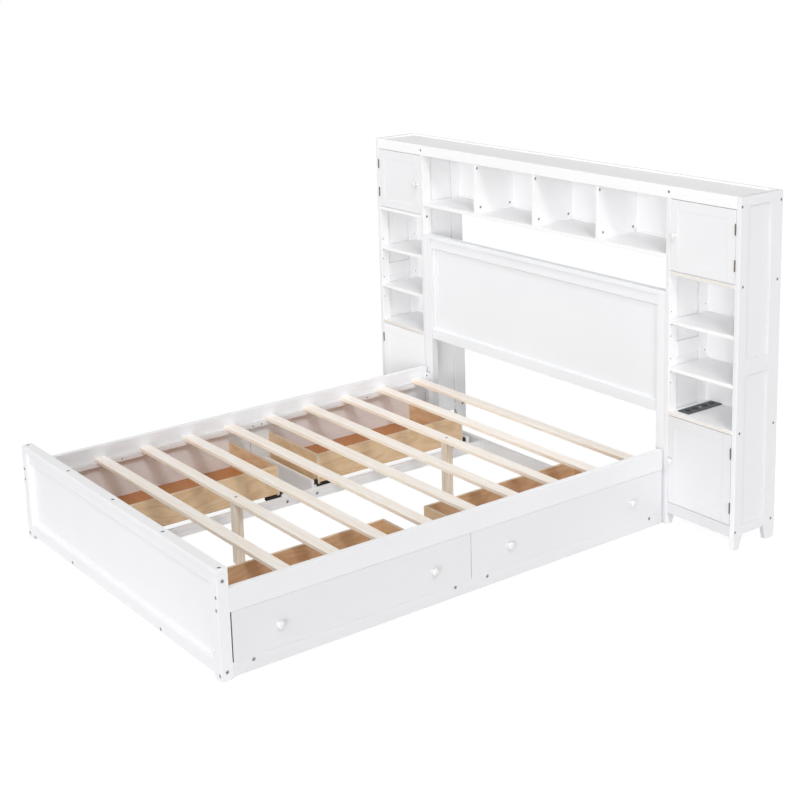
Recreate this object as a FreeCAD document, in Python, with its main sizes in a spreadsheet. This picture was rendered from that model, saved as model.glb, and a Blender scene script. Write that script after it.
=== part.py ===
import FreeCAD, Part
import os
import re

# A storage bed for a queen mattress: a bed base with four drawers under the
# slats, a low footboard, a headboard, a cupboard tower on each side of the
# headboard and a row of open compartments that joins the towers at the top.
# X runs across the bed, Y from the foot to the head, and Z up from the floor.

os.makedirs("parts", exist_ok=True)
document = FreeCAD.newDocument("StorageBed")

# Sizes
SIZES = {
    # bed outline
    "bed_width": 1600,
    "rail_length": 2029,
    "head_gap": 15,
    "post_width": 45,
    # footboard
    "footboard_depth": 45,
    "footboard_height": 400,
    "cap_height": 21,
    "foot_top_rail_height": 44,
    "foot_low_rail_lift": 21,
    "foot_low_rail_height": 49,
    "rail_setback": 8,
    "foot_panel_setback": 22,
    "bed_panel_thick": 12,
    # headboard
    "headboard_depth": 35,
    "headboard_gap": 136,
    "head_top_rail_height": 48,
    "head_low_rail_lift": 468,
    "head_low_rail_height": 53,
    "head_rail_setback": 8,
    "head_strip_width": 24,
    "head_strip_setback": 16,
    "head_panel_setback": 21,
    # side rails and slats
    "rail_thick": 25,
    "rail_top": 324,
    "rail_height": 84,
    "low_rail_lift": 8,
    "low_rail_height": 50,
    "cleat_width": 20,
    "cleat_height": 20,
    "upright_width": 25,
    "upright_depth": 25,
    "upright_rise": 20,
    "upright_bolt_inset": 14,
    "slat_drop": 47,
    "slat_thick": 17,
    "slat_width": 52,
    "first_slat": 258,
    "last_slat": 44,
    "slat_end_air": 1,
    "leg_width": 36,
    # base boards and drawer guides
    "inner_board_air": 3,
    "inner_board_thick": 22,
    "inner_board_height": 42,
    "cross_board_thick": 22,
    "cross_board_height": 52,
    "guide_thick": 25,
    "guide_height": 75,
    "guide_ledge_width": 12,
    "guide_inset_foot": 80,
    "guide_inset_middle": 76.5,
    "guide_inset_head": 74,
    # drawers
    "foot_gap": 4,
    "drawer_gap": 3,
    "front_gap": 2,
    "front_thick": 18,
    "box_side_air": 9.5,
    "box_thick": 12,
    "box_top_air": 48,
    "drawer_depth": 417,
    "box_back_lift": 7,
    "slide_air": 0.5,
    "box_floor_lift": 12,
    "box_floor_thick": 6,
    "drawer_knob_inset": 179,
    # rear rollers
    "roller_radius": 10,
    "roller_width": 11,
    "roller_air": 0.3,
    "axle_radius": 3,
    "running_air": 0.08,
    "bracket_plate": 4,
    "bracket_width": 16,
    "bracket_length": 71,
    "bracket_drop": 12,
    "bracket_rise": 20,
    "roller_side_air": 2,
    # towers
    "tower_overlap": 9,
    "tower_depth": 239,
    "tower_width": 377,
    "tower_height": 1411,
    "side_frame_thick": 22,
    "front_stile_width": 48,
    "rear_stile_width": 66,
    "front_foot_width": 30,
    "front_foot_height": 54,
    "rear_foot_width": 50,
    "rear_foot_height": 73,
    "side_low_rail_lift": 60,
    "side_low_rail_height": 36,
    "side_mid_rail_lift": 709,
    "side_mid_rail_height": 63,
    "side_top_rail_height": 38,
    "side_panel_thick": 8,
    "board_thick": 18,
    "apron_height": 49,
    "kick_lift": 53,
    "kick_height": 47,
    "floor_drop": 10,
    "shelf_thick": 16,
    "socket_shelf_top": 490,
    "upper_door_opening": 290,
    "loose_shelf_thick": 15,
    "shelf_side_air": 1,
    "shelf_front_air": 3,
    "back_thick": 6,
    "back_inset": 8,
    "top_panel_drop": 6,
    "top_panel_thick": 12,
    # bridge of open compartments
    "bridge_height": 292,
    "back_batten_height": 28,
    "divider_thick": 16,
    # doors and hinges
    "door_gap": 2,
    "door_thick": 18,
    "door_frame_width": 40,
    "door_panel_thick": 8,
    "door_panel_setback": 6,
    "hinge_gap": 3,
    "hinge_height": 44,
    "hinge_inset": 52,
    "leaf_air": 0.6,
    "leaf_depth": 15,
    "knuckle_radius": 2.5,
    "knuckle_air": 0.3,
    "knuckle_stand": 0.2,
    "hinge_pin_radius": 1.2,
    "hinge_pin_air": 0.05,
    "door_knob_inset": 25,
    # knobs
    "knob_radius": 14,
    "knob_length": 25,
    "knob_neck_radius": 6,
    "knob_foot_radius": 8,
    # power strip
    "strip_width": 60,
    "strip_height": 4,
    "strip_side_inset": 27,
    "strip_front_inset": 27,
    "strip_rear_air": 2,
    # bolts, screws, cam locks and shelf pins
    "head_radius": 6,
    "head_depth": 3,
    "head_sink": 0.3,
    "shank_radius": 3,
    "bore_air": 0.2,
    "bolt_bite": 28,
    "cap_screw_bite": 12,
    "cap_screw_inset": 18,
    "rail_bolt_inset": 24,
    "rail_bolt_drop": 45,
    "low_bolt_rise": 12,
    "post_bolt_rise": 11,
    "shelf_bolt_front": 21,
    "shelf_bolt_rear": 22,
    "apron_bolt_drop": 37,
    "apron_screw_drop": 21,
    "cam_radius": 6,
    "cam_depth": 11,
    "cam_rise": 26,
    "cam_drop": 17,
    "cam_front": 28,
    "pin_radius": 2.5,
    "pin_bore_depth": 10,
    "pin_reach": 9,
    "pin_front": 12,
    "pin_rear": 29,
    "cut_over": 1,
}

sheet = document.addObject("Spreadsheet::Sheet", "Sheet")
for row, (name, value) in enumerate(SIZES.items(), start=1):
    sheet.set("A%d" % row, name)
    sheet.set("B%d" % row, str(value))
    sheet.setAlias("B%d" % row, name)
document.recompute()

# Places that follow from the sizes
DERIVED = {
    "half_bed": "bed_width/2",
    "post_inner": "half_bed-post_width",
    "rail_inner": "half_bed-rail_thick",
    "foot_front": "-(footboard_depth+rail_length+head_gap+tower_depth)/2",
    "foot_back": "foot_front+footboard_depth",
    "cap_bottom": "footboard_height-cap_height",
    "foot_top_rail_bottom": "cap_bottom-foot_top_rail_height",
    "foot_low_rail_top": "foot_low_rail_lift+foot_low_rail_height",
    "rail_end": "foot_back+rail_length",
    "head_front": "rail_end+head_gap",
    "head_back": "head_front+headboard_depth",
    "headboard_height": "bridge_lift-headboard_gap",
    "head_cap_bottom": "headboard_height-cap_height",
    "head_top_rail_bottom": "head_cap_bottom-head_top_rail_height",
    "head_low_rail_top": "head_low_rail_lift+head_low_rail_height",
    "rail_bottom": "rail_top-rail_height",
    "low_rail_top": "low_rail_lift+low_rail_height",
    "slat_top": "rail_top-slat_drop",
    "slat_bottom": "slat_top-slat_thick",
    "box_back_line": "half_bed-drawer_depth",
    "inner_board_back": "box_back_line-inner_board_air",
    "inner_board_line": "inner_board_back-inner_board_thick",
    "inner_board_top": "low_rail_lift+inner_board_height",
    "cross_board_top": "low_rail_lift+cross_board_height",
    "guide_top": "low_rail_lift+guide_height",
    "upright_front": "head_front-upright_depth",
    "cross_board_front": "upright_front+upright_depth-cross_board_thick",
    "bay_middle": "(foot_back+head_front)/2",
    "tower_front": "head_front",
    "tower_back": "tower_front+tower_depth",
    "tower_inner": "half_bed-tower_overlap",
    "tower_outer": "tower_inner+tower_width",
    "bay_near": "tower_inner+side_frame_thick",
    "head_post_inner": "tower_inner-post_width",
    "bay_far": "tower_outer-side_frame_thick",
    "stile_front_back": "tower_front+front_stile_width",
    "stile_rear_front": "tower_back-rear_stile_width",
    "apron_bottom": "tower_height-apron_height",
    "apron_back": "tower_front+board_thick",
    "rear_apron_front": "tower_back-board_thick",
    "top_panel_top": "tower_height-top_panel_drop",
    "top_panel_bottom": "top_panel_top-top_panel_thick",
    "back_outer": "tower_back-back_inset",
    "back_inner": "back_outer-back_thick",
    "kick_top": "kick_lift+kick_height",
    "floor_top": "kick_top-floor_drop",
    "floor_bottom": "floor_top-shelf_thick",
    "socket_shelf_bottom": "socket_shelf_top-shelf_thick",
    "upper_shelf_top": "apron_bottom-upper_door_opening",
    "upper_shelf_bottom": "upper_shelf_top-shelf_thick",
    "bridge_lift": "tower_height-bridge_height",
    "bridge_top": "bridge_lift+board_thick",
    "divider_pitch": "(2*tower_inner+divider_thick)/4",
    "box_bottom": "low_rail_top+slide_air",
    "box_top": "rail_bottom-box_top_air",
    "box_front_end": "half_bed-front_thick",
    "ledge_top": "low_rail_top+slide_air",
    "roller_height": "ledge_top+roller_air+roller_radius",
    "roller_line": "box_back_line+bracket_width/2",
    "hinge_x": "bay_far-hinge_gap/2",
    "hinge_y": "tower_front-knuckle_radius-knuckle_stand",
    "leaf_start": "hinge_y+knuckle_radius+knuckle_air",
}

PIECES = {}
BORES = {}
NODES = {}


def formula(text):
    """Write a formula of named sizes with the names of the sheet's cells."""
    words = re.compile("[a-z_]+")
    while any(word in DERIVED for word in words.findall(text)):
        text = words.sub(lambda found: "(" + DERIVED[found.group()] + ")"
                         if found.group() in DERIVED else found.group(), text)
    return words.sub(lambda found: "Sheet." + found.group(), text)


def shifted(at, way, distance):
    """Move a place along one of the six ways by a named distance."""
    axis = "xyz".index(way[1])
    moved = list(at)
    moved[axis] = "(%s)%s(%s)" % (at[axis], way[0], distance)
    return tuple(moved)


def sided(side, near, far):
    """Give the X span of a piece on the left or the right side."""
    if side == "right":
        return (near, far)
    return ("-(%s)" % far, "-(%s)" % near)


def signed(side, place):
    """Give the X place of something on the left or the right side."""
    return place if side == "right" else "-(%s)" % place


def outward(side):
    """Name the way that leads out of the bed on this side."""
    return "+x" if side == "right" else "-x"


def inward(side):
    """Name the way that leads into the bed from this side."""
    return "-x" if side == "right" else "+x"


def box(key, x, y, z):
    """Make a board from its spans along X, Y and Z."""
    piece = document.addObject("Part::Box", key)
    for size, axis, span in (("Length", "x", x), ("Width", "y", y), ("Height", "z", z)):
        piece.setExpression(size, formula("(%s)-(%s)" % (span[1], span[0])))
        piece.setExpression("Placement.Base." + axis, formula(span[0]))
    PIECES[key] = piece
    return piece


def turned(piece, at, way):
    """Point a round piece along one of the six ways from a place."""
    direction = FreeCAD.Vector(*[float(way[0] + "1") if axis == way[1] else 0 for axis in "xyz"])
    rotation = FreeCAD.Rotation(FreeCAD.Vector(0, 0, 1), direction)
    piece.Placement = FreeCAD.Placement(FreeCAD.Vector(0, 0, 0), rotation)
    for axis, place in zip("xyz", at):
        piece.setExpression("Placement.Base." + axis, formula(place))
    return piece


def rod(key, radius, length, at, way):
    """Make a round rod that starts at a place and runs one way."""
    piece = document.addObject("Part::Cylinder", key)
    piece.setExpression("Radius", formula(radius))
    piece.setExpression("Height", formula(length))
    PIECES[key] = turned(piece, at, way)
    return piece


def cone(key, radius, end_radius, length, at, way):
    """Make a cone that starts at a place and runs one way."""
    piece = document.addObject("Part::Cone", key)
    piece.setExpression("Radius1", formula(radius))
    piece.setExpression("Radius2", formula(end_radius))
    piece.setExpression("Height", formula(length))
    PIECES[key] = turned(piece, at, way)
    return piece


def foot(key, x, low_y, high_y, height):
    """Make a leg foot whose depth grows from low_y at the floor to high_y above."""
    piece = document.addObject("Part::Wedge", key)
    piece.Placement = FreeCAD.Placement(FreeCAD.Vector(0, 0, 0),
                                        FreeCAD.Rotation(FreeCAD.Vector(1, 0, 0), 90))
    limits = {"Xmin": x[0], "X2min": x[0], "Xmax": x[1], "X2max": x[1],
              "Ymin": "0*(%s)" % height, "Ymax": height,
              "Zmin": "-(%s)" % low_y[1], "Zmax": "-(%s)" % low_y[0],
              "Z2min": "-(%s)" % high_y[1], "Z2max": "-(%s)" % high_y[0]}
    for limit, value in limits.items():
        piece.setExpression(limit, formula(value))
    PIECES[key] = piece
    return piece


def joined(key, members):
    """Fuse members into one solid."""
    piece = document.addObject("Part::MultiFuse", key)
    piece.Shapes = members
    piece.Refine = True
    PIECES[key] = piece
    return piece


def cut(key, base, tools):
    """Cut tools out of a solid."""
    tool = tools[0] if len(tools) == 1 else joined(key + "_tools", tools)
    piece = document.addObject("Part::Cut", key)
    piece.Base = base
    piece.Tool = tool
    PIECES[key] = piece
    return piece


def node(name, keys):
    """Gather the solids of one named sub-part."""
    NODES[name] = list(keys)


def bored(keys, tools):
    """Note bores that go through the named solids."""
    for key in keys:
        BORES.setdefault(key, []).extend(tools)


def bolt(key, at, way, reach, hosts):
    """Seat a bolt with a sunk head at a place and bore its holes in the hosts."""
    head = rod(key + "_head", "head_radius", "head_depth-head_sink", shifted(at, way, "head_sink"), way)
    shank = rod(key + "_shank", "shank_radius", reach, shifted(at, way, "head_depth"), way)
    joined(key, [head, shank])
    seat = rod(key + "_seat", "head_radius+bore_air", "head_depth+cut_over", shifted(at, way, "-cut_over"), way)
    hole = rod(key + "_hole", "shank_radius+bore_air", "head_depth+bore_air+(%s)" % reach, at, way)
    bored(hosts, [seat, hole])
    return key


def knob(key, at, way):
    """Make a turned knob that stands on a face."""
    foot_part = cone(key + "_foot", "knob_foot_radius", "knob_neck_radius", "knob_length/3", at, way)
    flare = cone(key + "_flare", "knob_neck_radius", "knob_radius", "knob_length/3",
                 shifted(at, way, "knob_length/3"), way)
    disc = rod(key + "_disc", "knob_radius", "knob_length/6", shifted(at, way, "2*knob_length/3"), way)
    face = cone(key + "_face", "knob_radius", "knob_radius-knob_length/6", "knob_length/6",
                shifted(at, way, "5*knob_length/6"), way)
    joined(key, [foot_part, flare, disc, face])
    return key


SIDES = ("left", "right")
bolts = []

# Footboard
for side in SIDES:
    box("foot_post_" + side, sided(side, "post_inner", "half_bed"),
        ("foot_front", "foot_back"), ("0", "cap_bottom"))
box("foot_cap", ("-half_bed", "half_bed"), ("foot_front", "foot_back"), ("cap_bottom", "footboard_height"))
box("foot_top_rail", ("-post_inner", "post_inner"), ("foot_front+rail_setback", "foot_back"),
    ("foot_top_rail_bottom", "cap_bottom"))
box("foot_low_rail", ("-post_inner", "post_inner"), ("foot_front", "foot_back"),
    ("foot_low_rail_lift", "foot_low_rail_top"))
box("foot_panel", ("-post_inner", "post_inner"),
    ("foot_front+foot_panel_setback", "foot_front+foot_panel_setback+bed_panel_thick"),
    ("foot_low_rail_top", "foot_top_rail_bottom"))
node("footboard_posts", ["foot_post_left", "foot_post_right"])
node("footboard_rails", ["foot_cap", "foot_top_rail", "foot_low_rail"])
node("footboard_panel", ["foot_panel"])

# Headboard
for side in SIDES:
    box("head_post_" + side, sided(side, "head_post_inner", "tower_inner"),
        ("head_front", "head_back"), ("0", "head_cap_bottom"))
box("head_cap", ("-tower_inner", "tower_inner"), ("head_front", "head_back"),
    ("head_cap_bottom", "headboard_height"))
box("head_top_rail", ("-head_post_inner", "head_post_inner"), ("head_front+head_rail_setback", "head_back"),
    ("head_top_rail_bottom", "head_cap_bottom"))
box("head_low_rail", ("-head_post_inner", "head_post_inner"), ("head_front+head_rail_setback", "head_back"),
    ("head_low_rail_lift", "head_low_rail_top"))
for side in SIDES:
    box("head_strip_" + side, sided(side, "head_post_inner-head_strip_width", "head_post_inner"),
        ("head_front+head_strip_setback", "head_front+head_strip_setback+bed_panel_thick"),
        ("head_low_rail_top", "head_top_rail_bottom"))
box("head_panel", ("-head_post_inner+head_strip_width", "head_post_inner-head_strip_width"),
    ("head_front+head_panel_setback", "head_front+head_panel_setback+bed_panel_thick"),
    ("head_low_rail_top", "head_top_rail_bottom"))
node("headboard_posts", ["head_post_left", "head_post_right"])
node("headboard_rails", ["head_cap", "head_top_rail", "head_low_rail", "head_strip_left", "head_strip_right"])
node("headboard_panel", ["head_panel"])

# Side rails, cleats and slats
for side in SIDES:
    rail_x = sided(side, "rail_inner", "half_bed")
    box("upper_rail_" + side, rail_x, ("foot_back", "rail_end"), ("rail_bottom", "rail_top"))
    box("lower_rail_" + side, rail_x, ("foot_back", "rail_end"), ("low_rail_lift", "low_rail_top"))
    box("cleat_" + side, sided(side, "rail_inner-cleat_width", "rail_inner"),
        ("foot_back", "upright_front"), ("slat_bottom-cleat_height", "slat_bottom"))
    box("upright_" + side, sided(side, "rail_inner-upright_width", "rail_inner"),
        ("upright_front", "head_front"), ("low_rail_lift", "slat_top+upright_rise"))
    for name, height in (("top", "slat_top+upright_rise-upright_bolt_inset"), ("low", "guide_top+upright_bolt_inset")):
        bolts.append(bolt("upright_bolt_%s_%s" % (name, side),
                          (signed(side, "rail_inner-upright_width/2"), "upright_front", height), "+y",
                          "upright_depth-head_depth+bolt_bite", ["upright_" + side, "head_post_" + side]))
node("side_rails", ["upper_rail_left", "upper_rail_right", "lower_rail_left", "lower_rail_right"])
node("rail_battens", ["cleat_left", "cleat_right", "upright_left", "upright_right"])

slat_count = 9
leg_slat_count = 5
slat_pitch = "(rail_length-first_slat-last_slat-slat_width)/%d" % (slat_count - 1)
leg_keys = []
for index in range(slat_count):
    start = "foot_back+first_slat+%d*%s" % (index, slat_pitch)
    box("slat_%d" % index, ("-rail_inner+slat_end_air", "rail_inner-slat_end_air"),
        (start, start + "+slat_width"), ("slat_bottom", "slat_top"))
    if index % leg_slat_count == 1:
        middle = start + "+slat_width/2"
        box("leg_%d" % index, ("-leg_width/2", "leg_width/2"),
            (middle + "-leg_width/2", middle + "+leg_width/2"), ("0", "slat_bottom"))
        leg_keys.append("leg_%d" % index)
        bolts.append(bolt("leg_screw_%d" % index, ("0", middle, "slat_top"), "-z",
                          "slat_thick+bolt_bite", ["slat_%d" % index, "leg_%d" % index]))
node("slats", ["slat_%d" % index for index in range(slat_count)])
node("centre_legs", leg_keys)

# Base boards and drawer guides
box("cross_board", ("-rail_inner+upright_width", "rail_inner-upright_width"), ("cross_board_front", "head_front"),
    ("low_rail_lift", "cross_board_top"))
for side in SIDES:
    box("inner_board_" + side, sided(side, "inner_board_line", "inner_board_back"),
        ("foot_back", "cross_board_front"), ("low_rail_lift", "inner_board_top"))
node("base_frame_boards", ["cross_board", "inner_board_left", "inner_board_right"])

# Each guide is named by its drawer and by its end of that drawer.
GUIDES = {
    "foot_foot": ("foot_back+guide_inset_foot", "+"),
    "foot_head": ("bay_middle-guide_inset_middle", "-"),
    "head_foot": ("bay_middle+guide_inset_middle", "+"),
    "head_head": ("rail_end-guide_inset_head", "-"),
}
guide_keys = []
for side in SIDES:
    for place, (middle, ledge_side) in GUIDES.items():
        key = "guide_%s_%s" % (place, side)
        span_x = sided(side, "inner_board_back", "rail_inner")
        low, high = middle + "-guide_thick/2", middle + "+guide_thick/2"
        if ledge_side == "+":
            tall, ledge = (low, high + "-guide_ledge_width"), (high + "-guide_ledge_width", high)
        else:
            tall, ledge = (low + "+guide_ledge_width", high), (low, low + "+guide_ledge_width")
        joined(key, [box(key + "_tall", span_x, tall, ("low_rail_lift", "guide_top")),
                     box(key + "_ledge", span_x, ledge, ("low_rail_lift", "ledge_top"))])
        guide_keys.append(key)
        height = "(low_rail_lift+guide_top)/2"
        bolts.append(bolt("guide_bolt_%s_%s" % (place, side), (signed(side, "half_bed"), middle, height),
                          inward(side), "rail_thick-head_depth+bolt_bite", [key, "lower_rail_" + side]))
        height = "(low_rail_lift+inner_board_top)/2"
        bolts.append(bolt("board_bolt_%s_%s" % (place, side), (signed(side, "inner_board_line"), middle, height),
                          outward(side), "inner_board_thick-head_depth+bolt_bite",
                          [key, "inner_board_" + side]))
node("drawer_guides", guide_keys)

# Bolts and screws of the footboard
for side in SIDES:
    rail_middle = signed(side, "half_bed-rail_thick/2")
    for name, height, host in (("top", "rail_top-rail_bolt_inset", "upper_rail_"),
                               ("middle", "rail_top-rail_bolt_inset-rail_bolt_drop", "upper_rail_"),
                               ("low", "low_rail_lift+low_bolt_rise", "lower_rail_")):
        bolts.append(bolt("foot_bolt_%s_%s" % (name, side), (rail_middle, "foot_front", height), "+y",
                          "footboard_depth-head_depth+bolt_bite", ["foot_post_" + side, host + side]))
    for name, height, host in (("top", "cap_bottom-foot_top_rail_height/2", "foot_top_rail"),
                               ("low", "foot_low_rail_lift+post_bolt_rise", "foot_low_rail")):
        bolts.append(bolt("post_bolt_%s_%s" % (name, side),
                          (signed(side, "half_bed"), "foot_front+footboard_depth/2", height), inward(side),
                          "post_width-head_depth+bolt_bite", ["foot_post_" + side, host]))
    bolts.append(bolt("board_end_bolt_" + side,
                      (signed(side, "inner_board_line+inner_board_thick/2"), "foot_front",
                       "(low_rail_lift+inner_board_top)/2"), "+y",
                      "footboard_depth-head_depth+bolt_bite",
                      ["foot_low_rail", "inner_board_" + side]))
for index, share in enumerate((-2, -1, 0, 1, 2)):
    hosts = {-2: "foot_post_left", 2: "foot_post_right"}
    bolts.append(bolt("cap_screw_%d" % index, ("%d*(half_bed-cap_screw_inset)/2" % share,
                                               "foot_front+footboard_depth/2", "footboard_height"), "-z",
                      "cap_height-head_depth+cap_screw_bite",
                      ["foot_cap", hosts.get(share, "foot_top_rail")]))

# Towers
upper_shelf_share = 0.6435
lower_shelf_share = 0.2993
stile_keys = []
rail_keys = []
panel_keys = []
shelf_keys = []
loose_keys = []
kick_keys = []
back_keys = []
pin_keys = []
box("apron", ("-bay_far", "bay_far"), ("tower_front", "apron_back"), ("apron_bottom", "tower_height"))
box("rear_apron", ("-bay_far", "bay_far"), ("rear_apron_front", "tower_back"), ("apron_bottom", "tower_height"))
for side in SIDES:
    for frame, near, far, top in (("inner", "tower_inner", "bay_near", "top_panel_bottom"),
                                  ("outer", "bay_far", "tower_outer", "tower_height")):
        span_x = sided(side, near, far)
        tag = "%s_%s" % (frame, side)
        front = joined("front_stile_full_" + tag, [
            foot("front_foot_" + tag, span_x, ("tower_front", "tower_front+front_foot_width"),
                 ("tower_front", "stile_front_back"), "front_foot_height"),
            box("front_upper_" + tag, span_x, ("tower_front", "stile_front_back"),
                ("front_foot_height", top))])
        rear = joined("rear_stile_full_" + tag, [
            foot("rear_foot_" + tag, span_x, ("tower_back-rear_foot_width", "tower_back"),
                 ("stile_rear_front", "tower_back"), "rear_foot_height"),
            box("rear_upper_" + tag, span_x, ("stile_rear_front", "tower_back"),
                ("rear_foot_height", top))])
        if frame == "inner":
            cut("front_stile_" + tag, front, [PIECES["apron"]])
            cut("rear_stile_" + tag, rear, [PIECES["rear_apron"]])
        else:
            PIECES["front_stile_" + tag] = front
            PIECES["rear_stile_" + tag] = rear
        stile_keys += ["front_stile_" + tag, "rear_stile_" + tag]
        between = ("stile_front_back", "stile_rear_front")
        top_rail_bottom = "tower_height-side_top_rail_height"
        for name, low, high in (
                ("low", "side_low_rail_lift", "side_low_rail_lift+side_low_rail_height"),
                ("mid", "side_mid_rail_lift", "side_mid_rail_lift+side_mid_rail_height"),
                ("top", top_rail_bottom, top)):
            box("side_rail_%s_%s" % (name, tag), span_x, between, (low, high))
            rail_keys.append("side_rail_%s_%s" % (name, tag))
        middle = "(%s+%s)/2" % (span_x[0], span_x[1])
        thin_x = (middle + "-side_panel_thick/2", middle + "+side_panel_thick/2")
        for name, low, high in (
                ("low", "side_low_rail_lift+side_low_rail_height", "side_mid_rail_lift"),
                ("high", "side_mid_rail_lift+side_mid_rail_height", top_rail_bottom)):
            box("side_panel_%s_%s" % (name, tag), thin_x, between, (low, high))
            panel_keys.append("side_panel_%s_%s" % (name, tag))

    bay = sided(side, "bay_near", "bay_far")
    box("kick_" + side, bay, ("tower_front", "apron_back"), ("kick_lift", "kick_top"))
    kick_keys.append("kick_" + side)
    for name, low, high, start in (
            ("floor", "floor_bottom", "floor_top", "apron_back"),
            ("socket", "socket_shelf_bottom", "socket_shelf_top", "tower_front"),
            ("upper", "upper_shelf_bottom", "upper_shelf_top", "tower_front")):
        box("shelf_%s_%s" % (name, side), bay, (start, "back_inner"), (low, high))
        shelf_keys.append("shelf_%s_%s" % (name, side))
    box("tower_back_" + side, bay, ("back_inner", "back_outer"), ("floor_bottom", "apron_bottom"))
    back_keys.append("tower_back_" + side)

    # Loose shelves stand on pins in the stiles.
    for level, height_share in (("upper", upper_shelf_share), ("lower", lower_shelf_share)):
        bottom = "(socket_shelf_top+%s*(upper_shelf_bottom-socket_shelf_top))" % height_share
        key = "loose_shelf_%s_%s" % (level, side)
        box(key, sided(side, "bay_near+shelf_side_air", "bay_far-shelf_side_air"),
            ("tower_front+shelf_front_air", "back_inner-shelf_side_air"),
            (bottom, bottom + "+loose_shelf_thick"))
        loose_keys.append(key)
        for frame, line, way in (("inner", "bay_near", outward(side)), ("outer", "bay_far", inward(side))):
            for end, pin_y in (("front", "tower_front+pin_front"), ("rear", "tower_back-pin_rear")):
                pin_key = "pin_%s_%s_%s_%s" % (level, frame, end, side)
                face = (signed(side, line), pin_y, bottom + "-pin_radius")
                inside = shifted(face, way, "-pin_bore_depth")
                rod(pin_key, "pin_radius", "pin_bore_depth+pin_reach", inside, way)
                hole = rod(pin_key + "_hole", "pin_radius+bore_air", "pin_bore_depth+cut_over", inside, way)
                bored(["%s_stile_%s_%s" % (end, frame, side)], [hole])
                pin_keys.append(pin_key)

    # Bolts through the side frames into the ends of the boards
    for frame, line, way in (("outer", "tower_outer", inward(side)), ("inner", "tower_inner", outward(side))):
        tag = "%s_%s" % (frame, side)
        reach = "side_frame_thick-head_depth+bolt_bite"
        shelf_rear = "back_inner-shelf_bolt_rear+shelf_thick"
        places = [
            ("kick", "tower_front+board_thick/2", "(kick_lift+kick_top)/2", "front", "kick_" + side),
            ("floor", shelf_rear, "(floor_top+floor_bottom)/2", "rear", "shelf_floor_" + side),
        ]
        for name in ("socket", "upper"):
            height = "(%s_shelf_top+%s_shelf_bottom)/2" % (name, name)
            places.append((name + "_front", "tower_front+shelf_bolt_front", height, "front",
                           "shelf_%s_%s" % (name, side)))
            places.append((name + "_rear", shelf_rear, height, "rear", "shelf_%s_%s" % (name, side)))
        if frame == "outer":
            height = "tower_height-apron_bolt_drop"
            places.append(("apron", "tower_front+board_thick/2", height, "front", "apron"))
            places.append(("rear_apron", "tower_back-board_thick/2", height, "rear", "rear_apron"))
        for name, bolt_y, height, end, host in places:
            bolts.append(bolt("side_bolt_%s_%s" % (name, tag), (signed(side, line), bolt_y, height), way,
                              reach, ["%s_stile_%s" % (end, tag), host]))

    # Bolts from the inside of the towers into the bridge, and screws in the aprons
    for end, bolt_y in (("front", "tower_front+shelf_bolt_front"),
                        ("rear", "rear_apron_front-shelf_bolt_rear")):
        bolts.append(bolt("bridge_bolt_%s_%s" % (end, side),
                          (signed(side, "bay_near"), bolt_y, "(bridge_lift+bridge_top)/2"), inward(side),
                          "side_frame_thick-head_depth+bolt_bite",
                          ["%s_stile_inner_%s" % (end, side), "bridge_board"]))
    for end, face, way, host in (("front", "tower_front", "+y", "apron"), ("rear", "tower_back", "-y", "rear_apron")):
        bolts.append(bolt("apron_screw_%s_%s" % (end, side),
                          (signed(side, "tower_inner+side_frame_thick/2"), face, "tower_height-apron_screw_drop-shank_radius"),
                          way, "board_thick-head_depth+bolt_bite", ["%s_stile_inner_%s" % (end, side), host]))

node("tower_stiles", stile_keys)
node("tower_side_rails", rail_keys)
node("tower_side_panels", panel_keys)
node("tower_fixed_shelves", shelf_keys)
node("tower_adjustable_shelves", loose_keys)
node("tower_kick_rails", kick_keys)
node("shelf_pins", pin_keys)
node("top_frame", ["apron", "rear_apron"])
box("top_board", ("-bay_far", "bay_far"), ("apron_back", "rear_apron_front"), ("top_panel_bottom", "top_panel_top"))
node("top_panel", ["top_board"])

# Bridge of open compartments
box("bridge_board", ("-tower_inner", "tower_inner"), ("tower_front", "rear_apron_front"), ("bridge_lift", "bridge_top"))
box("back_batten", ("-tower_inner", "tower_inner"), ("rear_apron_front", "tower_back"),
    ("bridge_lift", "bridge_lift+back_batten_height"))
box("bridge_back", ("-tower_inner", "tower_inner"), ("back_inner", "back_outer"),
    ("bridge_lift+back_batten_height", "apron_bottom"))
back_keys.append("bridge_back")
node("bridge_shelf", ["bridge_board", "back_batten"])
node("back_panels", back_keys)
divider_keys = []
cam_keys = []
for index, share in enumerate((-1, 0, 1)):
    middle = "%d*divider_pitch" % share
    key = "divider_%d" % index
    blank = box(key + "_blank", (middle + "-divider_thick/2", middle + "+divider_thick/2"),
                ("tower_front", "back_inner"), ("bridge_top", "top_panel_bottom"))
    cut(key, blank, [PIECES["apron"], PIECES["rear_apron"], PIECES["back_batten"]])
    divider_keys.append(key)
    for name, cam_y, height in (
            ("low_front", "tower_front+cam_front", "bridge_top+cam_rise"),
            ("low_rear", "rear_apron_front-cam_drop", "bridge_top+cam_rise"),
            ("top_front", "tower_front+board_thick/2", "apron_bottom-cam_drop"),
            ("top_rear", "rear_apron_front-cam_drop", "apron_bottom-cam_drop")):
        cam_key = "cam_%s_%d" % (name, index)
        face = (middle + "+divider_thick/2", cam_y, height)
        rod(cam_key, "cam_radius", "cam_depth-head_sink", shifted(face, "-x", "head_sink"), "-x")
        seat = rod(cam_key + "_seat", "cam_radius+bore_air", "cam_depth+cut_over",
                   shifted(face, "-x", "-cut_over"), "-x")
        bored([key], [seat])
        cam_keys.append(cam_key)
node("bridge_dividers", divider_keys)
node("cam_locks", cam_keys)

# Power strip on the socket shelf of the right tower
box("strip", ("bay_near+strip_side_inset", "bay_near+strip_side_inset+strip_width"),
    ("tower_front+strip_front_inset", "back_inner-strip_rear_air"),
    ("socket_shelf_top", "socket_shelf_top+strip_height"))
node("power_strip", ["strip"])

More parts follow.
